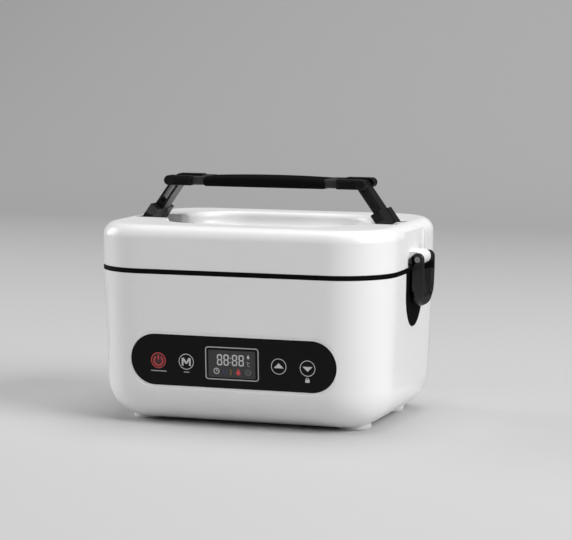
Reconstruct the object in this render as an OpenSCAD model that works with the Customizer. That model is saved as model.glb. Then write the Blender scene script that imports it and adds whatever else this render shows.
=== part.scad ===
// Electric lunch box: a heated two-wall box with a lift-off lid, side latches and a folding handle.
// Millimetres, +Z up, front towards -Y. The origin is the middle of the footprint, on the table.

/* [Body] */
// Width of the body, side to side
body_w = 240; // [220:1:300]
// Depth of the body, front to back
body_d = 178.6; // [165:0.1:220]
// Radius of the four upright corners at the band
corner_r = 44; // [42:1:50]
// Height of the housing's top edge above the table
housing_h = 118.3; // [114:0.1:140]
// Thickness of the plastic walls
wall = 2.6; // [2.2:0.1:3]
// How far the housing's sides lean in towards the bottom, in degrees
side_draft = 2.5; // [1.5:0.1:3]
// Radius of the rounded edge around the underside
bottom_round = 30; // [26:1:32]

/* [Feet and base cover] */
// Height of the feet under the housing
foot_h = 2; // [1.5:0.1:3]
// Radius of a foot
foot_r = 13.3; // [10:0.1:14]
// Distance of the feet from the middle, sideways
foot_x = 84.5; // [80:0.5:86]
// Distance of the feet from the middle, front to back
foot_y = 44; // [38:0.5:46]
// Length of the cover in the underside
cover_l = 132; // [120:1:136]
// Width of the cover in the underside
cover_w = 94; // [90:1:98]
// Thickness of the cover
cover_t = 3.2; // [2.8:0.1:4]

/* [Band] */
// Height of the black band between housing and lid
band_h = 3.8; // [3:0.1:5]
// Width of the catch plate on each side
tongue_w = 49; // [42:1:52]
// How far the catch plate reaches down the side
tongue_drop = 43.5; // [38:0.1:46]
// How far the catch plate leans in, in degrees
tongue_lean = 2; // [1:0.1:2.5]

/* [Lid] */
// Height of the lid above the band
lid_h = 33.4; // [33:0.1:40]
// Radius of the rounded edge around the top
lid_round = 10.5; // [8:0.5:13]
// Length of the hand well in the top
well_l = 164; // [156:1:168]
// Width of the hand well
well_w = 120; // [110:1:124]
// Corner radius of the hand well
well_r = 45; // [36:1:50]
// Depth of the hand well
well_depth = 13; // [12:0.5:14]

/* [Handle] */
// Length of an arm between its two pins
arm_l = 41.8; // [40:0.1:42]
// Angle of the raised arms above level, in degrees
arm_rise = 54.4; // [50:0.1:58]
// Distance of the arm's pivot from the middle
arm_pivot_x = 101.5; // [100:0.1:102]
// Depth of the arm's pivot below the top of the lid
arm_pivot_drop = 5.4; // [5:0.1:6]
// Thickness of an arm
arm_t = 7.4; // [6:0.1:7.6]
// Width of an arm's stem
arm_w = 14.5; // [12:0.5:14.5]
// Width of the whole handle, front to back
grip_w = 34; // [32:0.5:35]
// Thickness of the grip's ends
grip_t = 7.8; // [7.6:0.1:9]
// How far the grip reaches past its pins
grip_past = 6.8; // [6.6:0.1:7.2]
// Length of the soft sleeve in the grip's middle
sleeve_l = 101; // [96:1:106]
// Thickness of the soft sleeve
sleeve_t = 8.4; // [8:0.1:10]
// Radius of the pins in the lid
arm_pin_r = 1.6; // [1.4:0.1:1.8]
// Radius of the pins in the grip
grip_pin_r = 1.5; // [1.3:0.1:1.6]

/* [Latches] */
// Width of a latch lever
latch_w = 33; // [32.5:0.1:36]
// Distance of the latch's pin from the lid's side
latch_pin_out = 6.3; // [6.2:0.1:7.5]
// Height of the latch's pin above the lid's lower edge
latch_pin_up = 6.5; // [6.4:0.1:8.5]
// Radius of the latch's pin
latch_pin_r = 2.3; // [1.8:0.1:2.5]
// Length of a lever below its pin
latch_l = 37.7; // [34:0.1:40]
// Width of the lid's knuckle between the lever's ears
knuckle_w = 26.4; // [24:0.1:27]
// How far the catch ridge hides the lever's hook
hook_grip = 0.7; // [0.4:0.1:0.9]

/* [Control panel] */
// Length of the glossy panel
panel_l = 167.2; // [160:0.1:172]
// Height of the glossy panel
panel_h = 39.7; // [36:0.1:42]
// Height of the panel's middle above the table
panel_z = 51.7; // [50:0.1:60]
// Thickness of the glossy panel
panel_t = 1.8; // [1.4:0.1:2]
// Distance of the inner keys from the middle
key_inner = 37.7; // [34:0.1:42]
// Distance of the outer keys from the middle
key_outer = 60.8; // [58:0.1:62]
// Length of the display
display_l = 43; // [36:1:48]
// Height of the display
display_h = 20; // [16:1:24]

/* [Heating] */
// Space between the body's side and the pot's wall
pot_gap = 20; // [19:0.5:22]
// Thickness of the pot's metal
pot_t = 1; // [0.8:0.1:1.2]
// Height of the pot's underside above the table
pot_z = 46; // [44:0.5:50]
// Length of the heating plate
heater_l = 100; // [80:1:110]
// Width of the heating plate
heater_w = 60; // [50:1:70]
// Thickness of the heating plate
heater_t = 5; // [4:0.5:6]

/* [Food tray] */
// Space between the pot's wall and the tray's wall
tray_gap = 2; // [1.5:0.1:3]
// Thickness of the tray's steel
tray_t = 0.8; // [0.6:0.1:1]
// Space between the pot's floor and the tray's floor
tray_lift = 5; // [3:0.5:10]

/* [Electrics] */
// Length of the power board
board_l = 96; // [88:1:100]
// Width of the power board
board_w = 60; // [54:1:64]
// Thickness of the boards
board_t = 1.6; // [1.2:0.1:2]
// Height of the power inlet's middle above the table
inlet_z = 42.2; // [42:0.1:44]
// Distance of the power inlet from the middle
inlet_x = 0; // [-20:1:20]

/* [Hidden] */

$fn = 96;
snug = 0.02;        // gap around a pin that is pressed into its hole
running = 0.05;     // gap around a pin that something turns on
slack = 0.3;        // gap between pieces that only lie near each other
eps = 1;            // how far a cutter runs past a face
bite = 0.4;         // how far two shapes of one piece sink into each other
arc_steps = 14;     // straight pieces in a quarter round

corner_x = body_w / 2 - corner_r;
corner_y = body_d / 2 - corner_r;
lid_z = housing_h + band_h;
top_z = lid_z + lid_h;

// Points along an arc about a centre
function arc(centre, r, from, to, steps = arc_steps) =
    [for (i = [0:steps]) let (a = from + (to - from) * i / steps) centre + r * [cos(a), sin(a)]];

// The same points in the opposite order
function backwards(points) = [for (i = [len(points) - 1:-1:0]) points[i]];

// A body whose four upright corners are turned, and whose sides are drawn, from one section.
// The section's first number is the distance from the corner's upright axis, the second the height.
module cornered(section, core = [0, 0], cx = corner_x, cy = corner_y) {
    for (mx = [0, 1], my = [0, 1])
        mirror([mx, 0, 0])
            mirror([0, my, 0])
                translate([cx, cy, 0])
                    rotate_extrude(angle = 90)
                        polygon(section);
    for (my = [0, 1])
        mirror([0, my, 0])
            translate([-cx, cy, 0])
                rotate([90, 0, 90])
                    linear_extrude(2 * cx)
                        polygon(section);
    for (mx = [0, 1])
        mirror([mx, 0, 0])
            translate([cx, cy, 0])
                rotate([90, 0, 0])
                    linear_extrude(2 * cy)
                        polygon(section);
    if (core[1] > core[0])
        translate([-cx, -cy, core[0]])
            cube([2 * cx, 2 * cy, core[1] - core[0]]);
}

// A plate with rounded corners, centred, standing on the given height
module rounded_plate(l, w, r, z0, z1) {
    translate([0, 0, z0])
        linear_extrude(z1 - z0) {
            square([l - 2 * r, w], center = true);
            square([l, w - 2 * r], center = true);
            for (x = [-1, 1], y = [-1, 1])
                translate([x * (l / 2 - r), y * (w / 2 - r)])
                    circle(r);
        }
}

// A stadium outline, two half rounds joined by straight sides
module stadium(l, h) {
    square([l - h, h], center = true);
    for (x = [-1, 1])
        translate([x * (l - h) / 2, 0])
            circle(h / 2);
}

// A round bar along Y through the given point, from one y to another
module bar_y(x, z, r, y0, y1) {
    translate([x, y1, z])
        rotate([90, 0, 0])
            cylinder(r = r, h = y1 - y0);
}

// Lays children on a leaning wall: X along the wall, Y up it and Z out of it.
// turn is 0 at the front, 90 on the right, 180 at the back and 270 on the left.
module on_wall(turn, half, z, lean = side_draft) {
    rotate([0, 0, turn])
        translate([0, -(half - (housing_h - z) * tan(lean)), z])
            rotate([90 + lean, 0, 0])
                children();
}

// A box given by its two opposite corners
module span(low, high) {
    translate(low)
        cube(high - low);
}

// A closed tube of the given radius swept along a list of points
module tube(points, r, sides = 8) {
    last = len(points) - 1;
    rings = [for (i = [0:last])
        let (along = points[min(i + 1, last)] - points[max(i - 1, 0)],
             t = along / norm(along),
             side = cross(t, [0.35, 0.2, 0.9]),
             u = side / norm(side),
             v = cross(t, u))
        for (k = [0:sides - 1])
            points[i] + r * (cos(360 * k / sides) * u + sin(360 * k / sides) * v)];
    lower = [for (i = [0:last - 1], k = [0:sides - 1])
        [i * sides + k, i * sides + (k + 1) % sides, (i + 1) * sides + k]];
    upper = [for (i = [0:last - 1], k = [0:sides - 1])
        [i * sides + (k + 1) % sides, (i + 1) * sides + (k + 1) % sides, (i + 1) * sides + k]];
    ends = [for (k = [1:sides - 2])
        each [[0, k + 1, k], [last * sides, last * sides + k, last * sides + k + 1]]];
    polyhedron(points = rings, faces = concat(lower, upper, ends), convexity = 6);
}

// A smooth curve through the given points, with a few steps between each pair
function smooth(points, steps = 5) = let (n = len(points)) concat(
    [for (i = [0:n - 2], s = [0:steps - 1])
        let (a = points[max(i - 1, 0)], b = points[i], c = points[i + 1], d = points[min(i + 2, n - 1)],
             t = s / steps)
        0.5 * (2 * b + (c - a) * t + (2 * a - 5 * b + 4 * c - d) * t * t
            + (3 * b - a - 3 * c + d) * t * t * t)],
    [points[n - 1]]);

// ---- Housing ----

bowl_z = foot_h + bottom_round;
bowl_x = corner_r - (housing_h - bowl_z) * tan(side_draft) - bottom_round / cos(side_draft);
inner_x = corner_r - wall / cos(side_draft);

// Half of the housing's wall, from the underside up to the rim
function bowl(inset) = arc([bowl_x, bowl_z], bottom_round - inset, -90, -side_draft);

housing_section = concat(
    [[0, foot_h]], bowl(0), [[corner_r, housing_h], [inner_x, housing_h]],
    backwards(bowl(wall)), [[0, foot_h + wall]]);

ledge = 5;                      // width of the ledge that the base cover seats on
ledge_t = 3;                    // thickness of that ledge
cover_top = foot_h + cover_t;
cover_corner = 12;
cover_screw_in = 8;             // distance of the cover's screws from its edges
screw_r = 1.35;
pilot_r = 1.4;
head_r = 2.8;
head_h = 1.6;
boss_r = 4.4;
boss_h = 9;
screw_l = 8;
foot_stem_r = 3;
foot_stem_h = 3.4;
foot_boss_top = foot_h + wall + 2;

tongue_t = 2.6;                 // thickness of the catch plate
tongue_proud = 0.5;
tongue_fit = 0.2;
pad_t = 2.4;                    // extra wall behind the catch plate
pad_rim = 3;

land_rim = 2.3;                 // width of the sunk border around the panel
land_depth = 0.5;
panel_sink = 0.15;              // the panel's face lies this far below the wall
panel_fit = 0.15;
panel_pad_t = 2.2;              // extra wall behind the panel
window_l = 139;                 // the hole behind the panel
window_h = 26;
holder_screw_x = 76.5;
holder_boss_r = 3.4;
holder_boss_h = 5;

inlet_w = 27;                   // the inlet's body, and the hole for it
inlet_h = 19.6;
inlet_fit = 0.2;
inlet_flange_w = 46;
inlet_flange_h = 22.4;
inlet_flange_t = 2.2;
inlet_screw_x = 18;
inlet_pad_t = 3;
inlet_sink = 1.4;               // how far the inlet's screw heads sink into its flange

module cover_corners() {
    for (x = [-1, 1], y = [-1, 1])
        translate([x * (cover_l / 2 - cover_screw_in), y * (cover_w / 2 - cover_screw_in), 0])
            children();
}

module foot_places() {
    for (x = [-1, 1], y = [-1, 1])
        translate([x * foot_x, y * foot_y, 0])
            children();
}

// Outline of the catch plate: straight sides, then a pointed round tip
module tongue_outline(grow = 0) {
    half = tongue_w / 2 + grow;
    tip = tongue_drop * 0.66 + grow;
    polygon(concat(
        [[half, 0], [half - 1.5, tip - tongue_drop - grow]],
        [for (i = [1:11]) let (a = 90 * i / 12)
            [(half - 1.5) * cos(a), tip - tongue_drop - grow - tip * pow(sin(a), 1.15)]],
        [[0, -tongue_drop - grow]],
        [for (i = [11:-1:1]) let (a = 90 * i / 12)
            [-(half - 1.5) * cos(a), tip - tongue_drop - grow - tip * pow(sin(a), 1.15)]],
        [[-half + 1.5, tip - tongue_drop - grow], [-half, 0]]));
}

module on_panel() {
    on_wall(0, body_d / 2, panel_z)
        children();
}

module on_inlet() {
    on_wall(180, body_d / 2, inlet_z)
        translate([-inlet_x, 0, 0])
            children();
}

module housing_shell() {
    color("white") difference() {
        union() {
            difference() {
                cornered(housing_section, [foot_h, foot_h + wall]);
                translate([0, 0, -eps])
                    rounded_plate(cover_l - 2 * ledge, cover_w - 2 * ledge, cover_corner - ledge, 0, 20);
            }
            difference() {
                rounded_plate(cover_l + 6, cover_w + 6, cover_corner + 3, foot_h, cover_top + ledge_t);
                rounded_plate(cover_l - 2 * ledge, cover_w - 2 * ledge, cover_corner - ledge, 0, 20);
            }
            cover_corners()
                translate([0, 0, cover_top])
                    cylinder(r = boss_r, h = boss_h);
            foot_places()
                translate([0, 0, foot_h])
                    cylinder(r = foot_r, h = foot_boss_top - foot_h);
            for (turn = [90, 270])
                on_wall(turn, body_w / 2, housing_h - 8)
                    translate([0, 0, -wall - pad_t])
                        linear_extrude(pad_t + bite)
                            tongue_outline(pad_rim);
            on_panel()
                translate([0, 0, -wall - panel_pad_t])
                    linear_extrude(panel_pad_t + 0.4)
                        stadium(panel_l + 5, panel_h + 5);
            for (x = [-1, 1])
                on_panel()
                    translate([x * holder_screw_x, 0, -wall - panel_pad_t - holder_boss_h])
                        cylinder(r = holder_boss_r, h = holder_boss_h + 0.4);
            on_inlet()
                translate([-inlet_flange_w / 2, -inlet_h / 2 - 2, -wall - inlet_pad_t])
                    cube([inlet_flange_w, inlet_h + 4, inlet_pad_t + 0.4]);
        }
        rounded_plate(cover_l + 2 * slack, cover_w + 2 * slack, cover_corner, 0, cover_top);
        cover_corners()
            translate([0, 0, cover_top - eps])
                cylinder(r = pilot_r, h = eps + screw_l);
        foot_places()
            translate([0, 0, foot_h - eps])
                cylinder(r = foot_stem_r + snug, h = foot_stem_h + 0.4 + eps);
        for (turn = [90, 270])
            on_wall(turn, body_w / 2, housing_h, tongue_lean)
                translate([0, 0, tongue_proud - tongue_t - tongue_fit])
                    linear_extrude(tongue_t + 4)
                        tongue_outline(tongue_fit);
        on_panel() {
            translate([0, 0, -land_depth])
                linear_extrude(4)
                    stadium(panel_l + 2 * land_rim, panel_h + 2 * land_rim);
            translate([0, 0, -panel_sink - panel_t])
                linear_extrude(6)
                    stadium(panel_l + 2 * panel_fit, panel_h + 2 * panel_fit);
            translate([0, 0, -12])
                linear_extrude(14)
                    stadium(window_l, window_h);
            for (x = [-1, 1])
                translate([x * holder_screw_x, 0, -wall - panel_pad_t - holder_boss_h - eps])
                    cylinder(r = pilot_r, h = holder_boss_h + eps);
        }
        on_inlet() {
            translate([-inlet_w / 2 - inlet_fit, -inlet_h / 2 - inlet_fit, -10])
                cube([inlet_w + 2 * inlet_fit, inlet_h + 2 * inlet_fit, 14]);
            for (x = [-1, 1])
                translate([x * inlet_screw_x, 0, -wall - inlet_pad_t - eps])
                    cylinder(r = pilot_r, h = 12);
        }
    }
}

module base_cover() {
    color("white") difference() {
        union() {
            rounded_plate(cover_l, cover_w, cover_corner, foot_h, cover_top);
            board_corners()
                translate([0, 0, cover_top - 0.4])
                    cylinder(r = stand_r, h = board_z - cover_top + 0.4);
        }
        cover_corners() {
            translate([0, 0, foot_h - eps])
                cylinder(r = screw_r + slack, h = cover_t + 2 * eps);
            translate([0, 0, foot_h - eps])
                cylinder(r = head_r + 0.2, h = head_h + 0.1 + eps);
        }
        board_corners()
            translate([0, 0, board_z - 6])
                cylinder(r = pilot_r, h = 6 + eps);
    }
}

module base_screws() {
    color("silver") cover_corners() {
        translate([0, 0, foot_h + 0.1])
            cylinder(r = head_r, h = head_h);
        translate([0, 0, foot_h + 0.1])
            cylinder(r = screw_r, h = screw_l + 1.4);
    }
}

module feet() {
    color("whitesmoke") foot_places() {
        rotate_extrude()
            polygon([
                [0, 0], [foot_r - 1.4, 0], [foot_r - 0.5, 0.3], [foot_r, 1], [foot_r, foot_h], [0, foot_h]]);
        translate([0, 0, foot_h - 0.4])
            cylinder(r = foot_stem_r, h = foot_stem_h + 0.4);
    }
}

// ---- Band ----

pot_r = corner_r - pot_gap;         // the pot's corner radius, outside
flange_z = housing_h + 1.7;         // underside of the pot's flange
flange_r = pot_r + 10;
skirt_h = 7;                        // how far the band reaches into the housing
skirt_t = 2.4;

catch_z = housing_h - 18.3;         // lower edge of the catch ridge
catch_h = 2.2;
lever_back = body_w / 2 + 1;        // the lever's inner face
catch_out = lever_back + hook_grip;
catch_w = 20;

module collar_frame() {
    lean = skirt_h * tan(side_draft);
    color([0.07, 0.07, 0.07]) {
        cornered([
            [corner_r, housing_h], [corner_r, lid_z],
            [flange_r + 0.4, lid_z], [flange_r + 0.4, flange_z],
            [pot_r + 0.6, flange_z], [pot_r + 0.6, flange_z - 3],
            [inner_x - 0.2 - lean - skirt_t, flange_z - 3],
            [inner_x - 0.2 - lean - skirt_t, housing_h - skirt_h],
            [inner_x - 0.2 - lean, housing_h - skirt_h], [inner_x - 0.2, housing_h]]);
        for (turn = [90, 270])
            on_wall(turn, body_w / 2, housing_h, tongue_lean)
                translate([0, 0, tongue_proud - tongue_t])
                    linear_extrude(tongue_t)
                        union() {
                            tongue_outline();
                            translate([-tongue_w / 2, 0])
                                square([tongue_w, band_h - slack]);
                        }
        for (x = [-1, 1])
            scale([x, 1, 1])
                translate([0, catch_w / 2, 0])
                    rotate([90, 0, 0])
                        linear_extrude(catch_w)
                            polygon([
                                [body_w / 2 - 1.5, catch_z], [catch_out, catch_z],
                                [catch_out, catch_z + 0.9], [body_w / 2 - 1.5, catch_z + catch_h + 1]]);
    }
}

// ---- Heating ----

// A pan of even thickness: floor, rounded foot, upright wall and a flat rim
function pan_section(r, t, floor_z, round_r, rim_z, rim_r) = concat(
    [[0, floor_z]],
    arc([r - round_r, floor_z + round_r], round_r, -90, 0),
    [[r, rim_z], [rim_r, rim_z], [rim_r, rim_z + t], [r - t, rim_z + t]],
    backwards(arc([r - round_r, floor_z + round_r], round_r - t, -90, 0)),
    [[0, floor_z + t]]);

pot_round = 14;
stud_x = heater_l / 2 + 8;
stud_r = 2;
clamp_t = 1.6;
clamp_z = pot_z - heater_t - clamp_t;
clamp_w = 30;
nut_r = 4;
nut_h = 3;
stud_end = clamp_z - nut_h - 1;
stat_x = 22;                    // the thermostat's place under the clamp
stat_r = 8.2;
fuse_r = 2;
fuse_x = -22;

module stud_places() {
    for (x = [-1, 1])
        translate([x * stud_x, 0, 0])
            children();
}

module heating_pot() {
    color([0.75, 0.75, 0.77]) {
        cornered(pan_section(pot_r, pot_t, pot_z, pot_round, flange_z, flange_r), [pot_z, pot_z + pot_t]);
        stud_places()
            translate([0, 0, stud_end])
                cylinder(r = stud_r, h = pot_z - stud_end + 0.4);
    }
}

module heater_plate() {
    color([0.6, 0.6, 0.62]) difference() {
        rounded_plate(heater_l, heater_w, 6, pot_z - heater_t, pot_z);
        for (y = [-1, 1])
            translate([0, y * heater_w / 4, pot_z - heater_t / 2])
                rotate([0, 90, 0])
                    cylinder(r = 1.2, h = heater_l + 2 * eps, center = true);
    }
}

module heater_clamp() {
    color("silver") difference() {
        rounded_plate(2 * stud_x + 14, clamp_w, 7, clamp_z, clamp_z + clamp_t);
        stud_places()
            translate([0, 0, clamp_z - eps])
                cylinder(r = stud_r + 0.2, h = clamp_t + 2 * eps);
    }
    color("silver") difference() {
        stud_places()
            translate([0, 0, clamp_z + clamp_t - 0.1])
                cylinder(r = stud_r + 1.4, h = heater_t + 0.1);
        stud_places()
            translate([0, 0, clamp_z - eps])
                cylinder(r = stud_r + 0.2, h = heater_t + clamp_t + 2 * eps);
    }
}

module heater_nuts() {
    color("silver") stud_places()
        translate([0, 0, clamp_z - nut_h])
            difference() {
                cylinder(r = nut_r, h = nut_h, $fn = 6);
                translate([0, 0, -eps])
                    cylinder(r = stud_r + snug, h = nut_h + 2 * eps);
            }
}

module thermostat() {
    color([0.2, 0.2, 0.2]) translate([stat_x, 0, 0]) {
        translate([0, 0, clamp_z - 4])
            cylinder(r = stat_r, h = 4);
        translate([0, 0, clamp_z - 9])
            cylinder(r = stat_r - 1.4, h = 5.2);
        for (x = [-1, 1])
            span([x * 4 - 0.4, -3, clamp_z - 15], [x * 4 + 0.4, 3, clamp_z - 8.8]);
    }
}

module thermal_fuse() {
    color([0.85, 0.8, 0.6]) translate([fuse_x, 0, clamp_z - fuse_r]) {
        rotate([0, 90, 0])
            cylinder(r = fuse_r, h = 12, center = true);
        rotate([0, 90, 0])
            cylinder(r = 0.6, h = 26, center = true);
    }
}

module temperature_sensor() {
    color("silver") translate([0, heater_w / 2 + 8, 0]) {
        translate([0, 0, pot_z - 1.2])
            cylinder(r = 5, h = 1.2);
        translate([0, 0, pot_z - 8])
            cylinder(r = 2.6, h = 7);
    }
}

// ---- Control panel ----

display_gap = 0.6;              // between the panel's back and the display's face
display_t = 7;
lcd_board_z = -panel_sink - panel_t - display_gap - display_t;    // front face of the board, from the wall
holder_t = 1.6;
holder_l = 2 * holder_screw_x + 2 * holder_boss_r + 2;
holder_back = -wall - panel_pad_t - holder_boss_h;
spring_r = 4;
spring_wire = 0.35;
spring_turns = 4;

module control_panel() {
    color([0.02, 0.02, 0.02]) on_panel()
        translate([0, 0, -panel_sink - panel_t])
            linear_extrude(panel_t)
                stadium(panel_l, panel_h);
}

// A flat carrier behind the board, held by two screws in the housing's bosses
module panel_holder() {
    color([0.9, 0.9, 0.9]) on_panel()
        difference() {
            translate([0, 0, lcd_board_z - board_t - holder_t])
                linear_extrude(holder_back - (lcd_board_z - board_t - holder_t))
                    stadium(holder_l, 20);
            translate([0, 0, lcd_board_z - board_t])
                linear_extrude(20)
                    square([2 * holder_screw_x - 2 * holder_boss_r - 1.2, 30], center = true);
            for (x = [-1, 1])
                translate([x * holder_screw_x, 0, -30])
                    cylinder(r = screw_r + slack, h = 30);
            translate([0, 0, -30])
                linear_extrude(30)
                    square([60, 10], center = true);
        }
}

module panel_screws() {
    back = lcd_board_z - board_t - holder_t;
    color("silver") on_panel()
        for (x = [-1, 1])
            translate([x * holder_screw_x, 0, back - head_h]) {
                cylinder(r = head_r, h = head_h);
                cylinder(r = screw_r, h = holder_back - back + head_h + holder_boss_h - 1);
            }
}

module display_module() {
    color([0.5, 0.52, 0.55]) on_panel()
        translate([-display_l / 2, -display_h / 2, lcd_board_z])
            cube([display_l, display_h, display_t]);
}

module display_board() {
    color("darkgreen") on_panel()
        translate([0, 0, lcd_board_z - board_t])
            linear_extrude(board_t)
                square([2 * key_outer + 4 * spring_r, window_h - 3], center = true);
}

module touch_springs() {
    gap = -panel_sink - panel_t - lcd_board_z;
    rise = gap - 2 * spring_wire;
    steps = 10;
    color("silver") on_panel()
        for (x = [-key_outer, -key_inner, key_inner, key_outer])
            translate([x, 0, lcd_board_z + spring_wire])
                tube([for (i = [0:steps * spring_turns]) let (a = 360 * i / steps)
                    [(spring_r - spring_wire) * cos(a), (spring_r - spring_wire) * sin(a),
                     rise * i / steps / spring_turns]], spring_wire * 0.9, 5);
}

// ---- Electrics ----

board_z = cover_top + 6.8;
stand_r = 3.2;
board_screw_in = 5;

module board_corners() {
    for (x = [-1, 1], y = [-1, 1])
        translate([x * (board_l / 2 - board_screw_in), y * (board_w / 2 - board_screw_in), 0])
            children();
}

module power_board() {
    color("darkgreen") difference() {
        rounded_plate(board_l, board_w, 2, board_z, board_z + board_t);
        board_corners()
            translate([0, 0, board_z - eps])
                cylinder(r = screw_r + slack, h = board_t + 2 * eps);
    }
}

module board_screws() {
    color("silver") board_corners() {
        translate([0, 0, board_z + board_t])
            cylinder(r = head_r, h = head_h);
        translate([0, 0, board_z + board_t - 6.5])
            cylinder(r = screw_r, h = 6.6);
    }
}

// Transformer, relay, capacitors, terminal blocks and a plug-in connector
module board_parts() {
    top = board_z + board_t;
    color([0.15, 0.15, 0.16])
        span([-34, 2, top], [-14, 20, top + 14]);
    color([0.85, 0.8, 0.4])
        span([-31, -0.5, top + 3], [-17, 1.9, top + 11]);
    color([0.1, 0.25, 0.6])
        span([0, 6, top], [19, 21, top + 14]);
    color([0.1, 0.1, 0.12]) {
        translate([-8, -4, top])
            cylinder(r = 5, h = 14);
        translate([-20, -12, top])
            cylinder(r = 4, h = 11);
    }
    color([0.1, 0.5, 0.2]) {
        span([30, -6, top], [40, 14, top + 9]);
        span([-6, 22.5, top], [22, 28.5, top + 9]);
    }
    color("whitesmoke")
        span([-6, -27, top], [10, -20, top + 6]);
}

inlet_depth = 16;               // how far the inlet reaches into the housing
mouth_w = 23.6;
mouth_h = 16;
mouth_depth = 16;
pin_w = 4;
pin_t = 2;
pin_x = 7;
pin_drop = 2;

// Places of the three blades, across and up
blade_places = [[-pin_x, -pin_drop], [0, pin_drop], [pin_x, -pin_drop]];

module inlet_socket() {
    color([0.06, 0.06, 0.06]) on_inlet()
        difference() {
            union() {
                linear_extrude(inlet_flange_t)
                    stadium(inlet_flange_w, inlet_flange_h);
                translate([-inlet_w / 2, -inlet_h / 2, -inlet_depth])
                    cube([inlet_w, inlet_h, inlet_depth + 0.4]);
            }
            translate([0, 0, inlet_flange_t - mouth_depth])
                linear_extrude(mouth_depth + eps)
                    polygon([
                        [-mouth_w / 2, -mouth_h / 2], [mouth_w / 2, -mouth_h / 2],
                        [mouth_w / 2, mouth_h / 2 - 5], [mouth_w / 2 - 5, mouth_h / 2],
                        [-mouth_w / 2 + 5, mouth_h / 2], [-mouth_w / 2, mouth_h / 2 - 5]]);
            for (p = blade_places)
                translate([p[0] - pin_t / 2 - snug, p[1] - pin_w / 2 - snug, -inlet_depth - eps])
                    cube([pin_t + 2 * snug, pin_w + 2 * snug, inlet_depth]);
            for (x = [-1, 1])
                translate([x * inlet_screw_x, 0, 0]) {
                    translate([0, 0, -eps])
                        cylinder(r = screw_r + slack, h = inlet_flange_t + 2 * eps);
                    translate([0, 0, inlet_flange_t - inlet_sink])
                        cylinder(r = head_r + 0.2, h = inlet_sink + eps);
                }
        }
}

module inlet_pins() {
    color("gold") on_inlet()
        for (p = blade_places)
            translate([p[0] - pin_t / 2, p[1] - pin_w / 2, -inlet_depth - 7])
                cube([pin_t, pin_w, inlet_depth + 3]);
}

module inlet_screws() {
    color("silver") on_inlet()
        for (x = [-1, 1])
            translate([x * inlet_screw_x, 0, inlet_flange_t - inlet_sink]) {
                translate([0, 0, -screw_l])
                    cylinder(r = screw_r, h = screw_l + bite);
                cylinder(r = head_r, h = head_h);
            }
}

lead_r = 1.3;

// Where the blades come out behind the inlet
blade_y = body_d / 2 - (housing_h - inlet_z) * tan(side_draft) - inlet_depth - 7;
terminal_z = board_z + board_t + 9;

module mains_leads() {
    color([0.5, 0.25, 0.1]) for (k = [-1, 1])
        tube(smooth([
            [inlet_x + k * pin_x, blade_y - 1.6, inlet_z - 1],
            [inlet_x + k * pin_x, blade_y - 5, inlet_z - 0.5],
            [8 + k * 5, blade_y - 13, terminal_z + 4],
            [8 + k * 5, blade_y - 20, terminal_z + 3.5],
            [8 + k * 5, 25.5, terminal_z + lead_r + 0.2]]), lead_r);
}

module heater_leads() {
    color([0.8, 0.2, 0.15]) for (k = [-1, 1])
        tube(smooth([
            [35, 4 + k * 5, terminal_z + 0.3],
            [35, 4 + k * 5, terminal_z + 3.5],
            [38, 4 + k * 6, terminal_z + 8],
            [46, 3 + k * 9, clamp_z - 8],
            [56, k * 16, clamp_z - 2],
            [58, k * 18.5, pot_z - heater_t / 2],
            [heater_l / 2 + 3.5, k * 15, pot_z - heater_t / 2],
            [heater_l / 2 + 0.4, k * 15, pot_z - heater_t / 2]]), lead_r);
}

module display_lead() {
    far = -(body_d / 2 - (housing_h - panel_z) * tan(side_draft)) - lcd_board_z + board_t;
    color([0.85, 0.85, 0.85])
        tube(smooth([
            [2, -23.5, board_z + board_t + 6.3],
            [2, -23.5, board_z + board_t + 9.5],
            [2, -27, board_z + board_t + 12.5],
            [2, -38, board_z + board_t + 15],
            [2, -56, board_z + board_t + 20],
            [2, far + 8, panel_z - 6],
            [2, far + 1.9, panel_z]]), 1.6);
}

// ---- Lid ----

lid_inner = corner_r - wall;
lid_section = concat(
    [[corner_r, lid_z]],
    arc([corner_r - lid_round, top_z - lid_round], lid_round, 0, 90),
    [[0, top_z], [0, top_z - wall]],
    backwards(arc([corner_r - lid_round, top_z - lid_round], lid_round - wall, 0, 90)),
    [[lid_inner, lid_z]]);

well_x = well_l / 2 - well_r;
well_y = well_w / 2 - well_r;
well_z = top_z - well_depth;
well_lip = 4.5;
well_foot = 8;
well_t = 2.4;
well_side = well_r - well_lip;

step_z = top_z - well_lip - snug;        // the lid's lip stands on the bowl's step at this height
step_r = well_side + well_t + snug;
step_low = step_z - well_t;
step_angle = asin((well_z + well_foot - step_low) / (well_foot + well_t));
bowl_top = top_z - wall - snug;
bowl_flange = 5;                         // width of the flange welded under the lid's top
bowl_flange_t = 2;

// The opening in the lid's top, with a rolled lip
opening_section = concat(
    [[0, top_z - well_lip - eps], [well_side, top_z - well_lip - eps]],
    backwards(arc([well_r, top_z - well_lip], well_lip, 90, 180)),
    [[well_r, top_z + eps], [0, top_z + eps]]);

// The hand well's hollow below the lip
well_section = concat(
    [[0, well_z]],
    arc([well_side - well_foot, well_z + well_foot], well_foot, -90, 0),
    [[well_side, top_z + eps], [0, top_z + eps]]);

// The bowl around the hollow, with a step for the lip and a flange under the lid's top
bowl_section = concat(
    [[0, well_z - well_t]],
    arc([well_side - well_foot, well_z + well_foot], well_foot + well_t, -90, -step_angle),
    [[step_r + well_t, step_low], [step_r + well_t, bowl_top - bowl_flange_t],
     [step_r + well_t + bowl_flange, bowl_top - bowl_flange_t], [step_r + well_t + bowl_flange, bowl_top],
     [step_r, bowl_top], [step_r, step_z], [0, step_z]]);

// The room inside the lid
cavity_section = concat(
    [[0, lid_z], [corner_r - wall - snug, lid_z]],
    arc([corner_r - lid_round, top_z - lid_round], lid_round - wall - snug, 0, 90),
    [[0, bowl_top]]);

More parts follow.
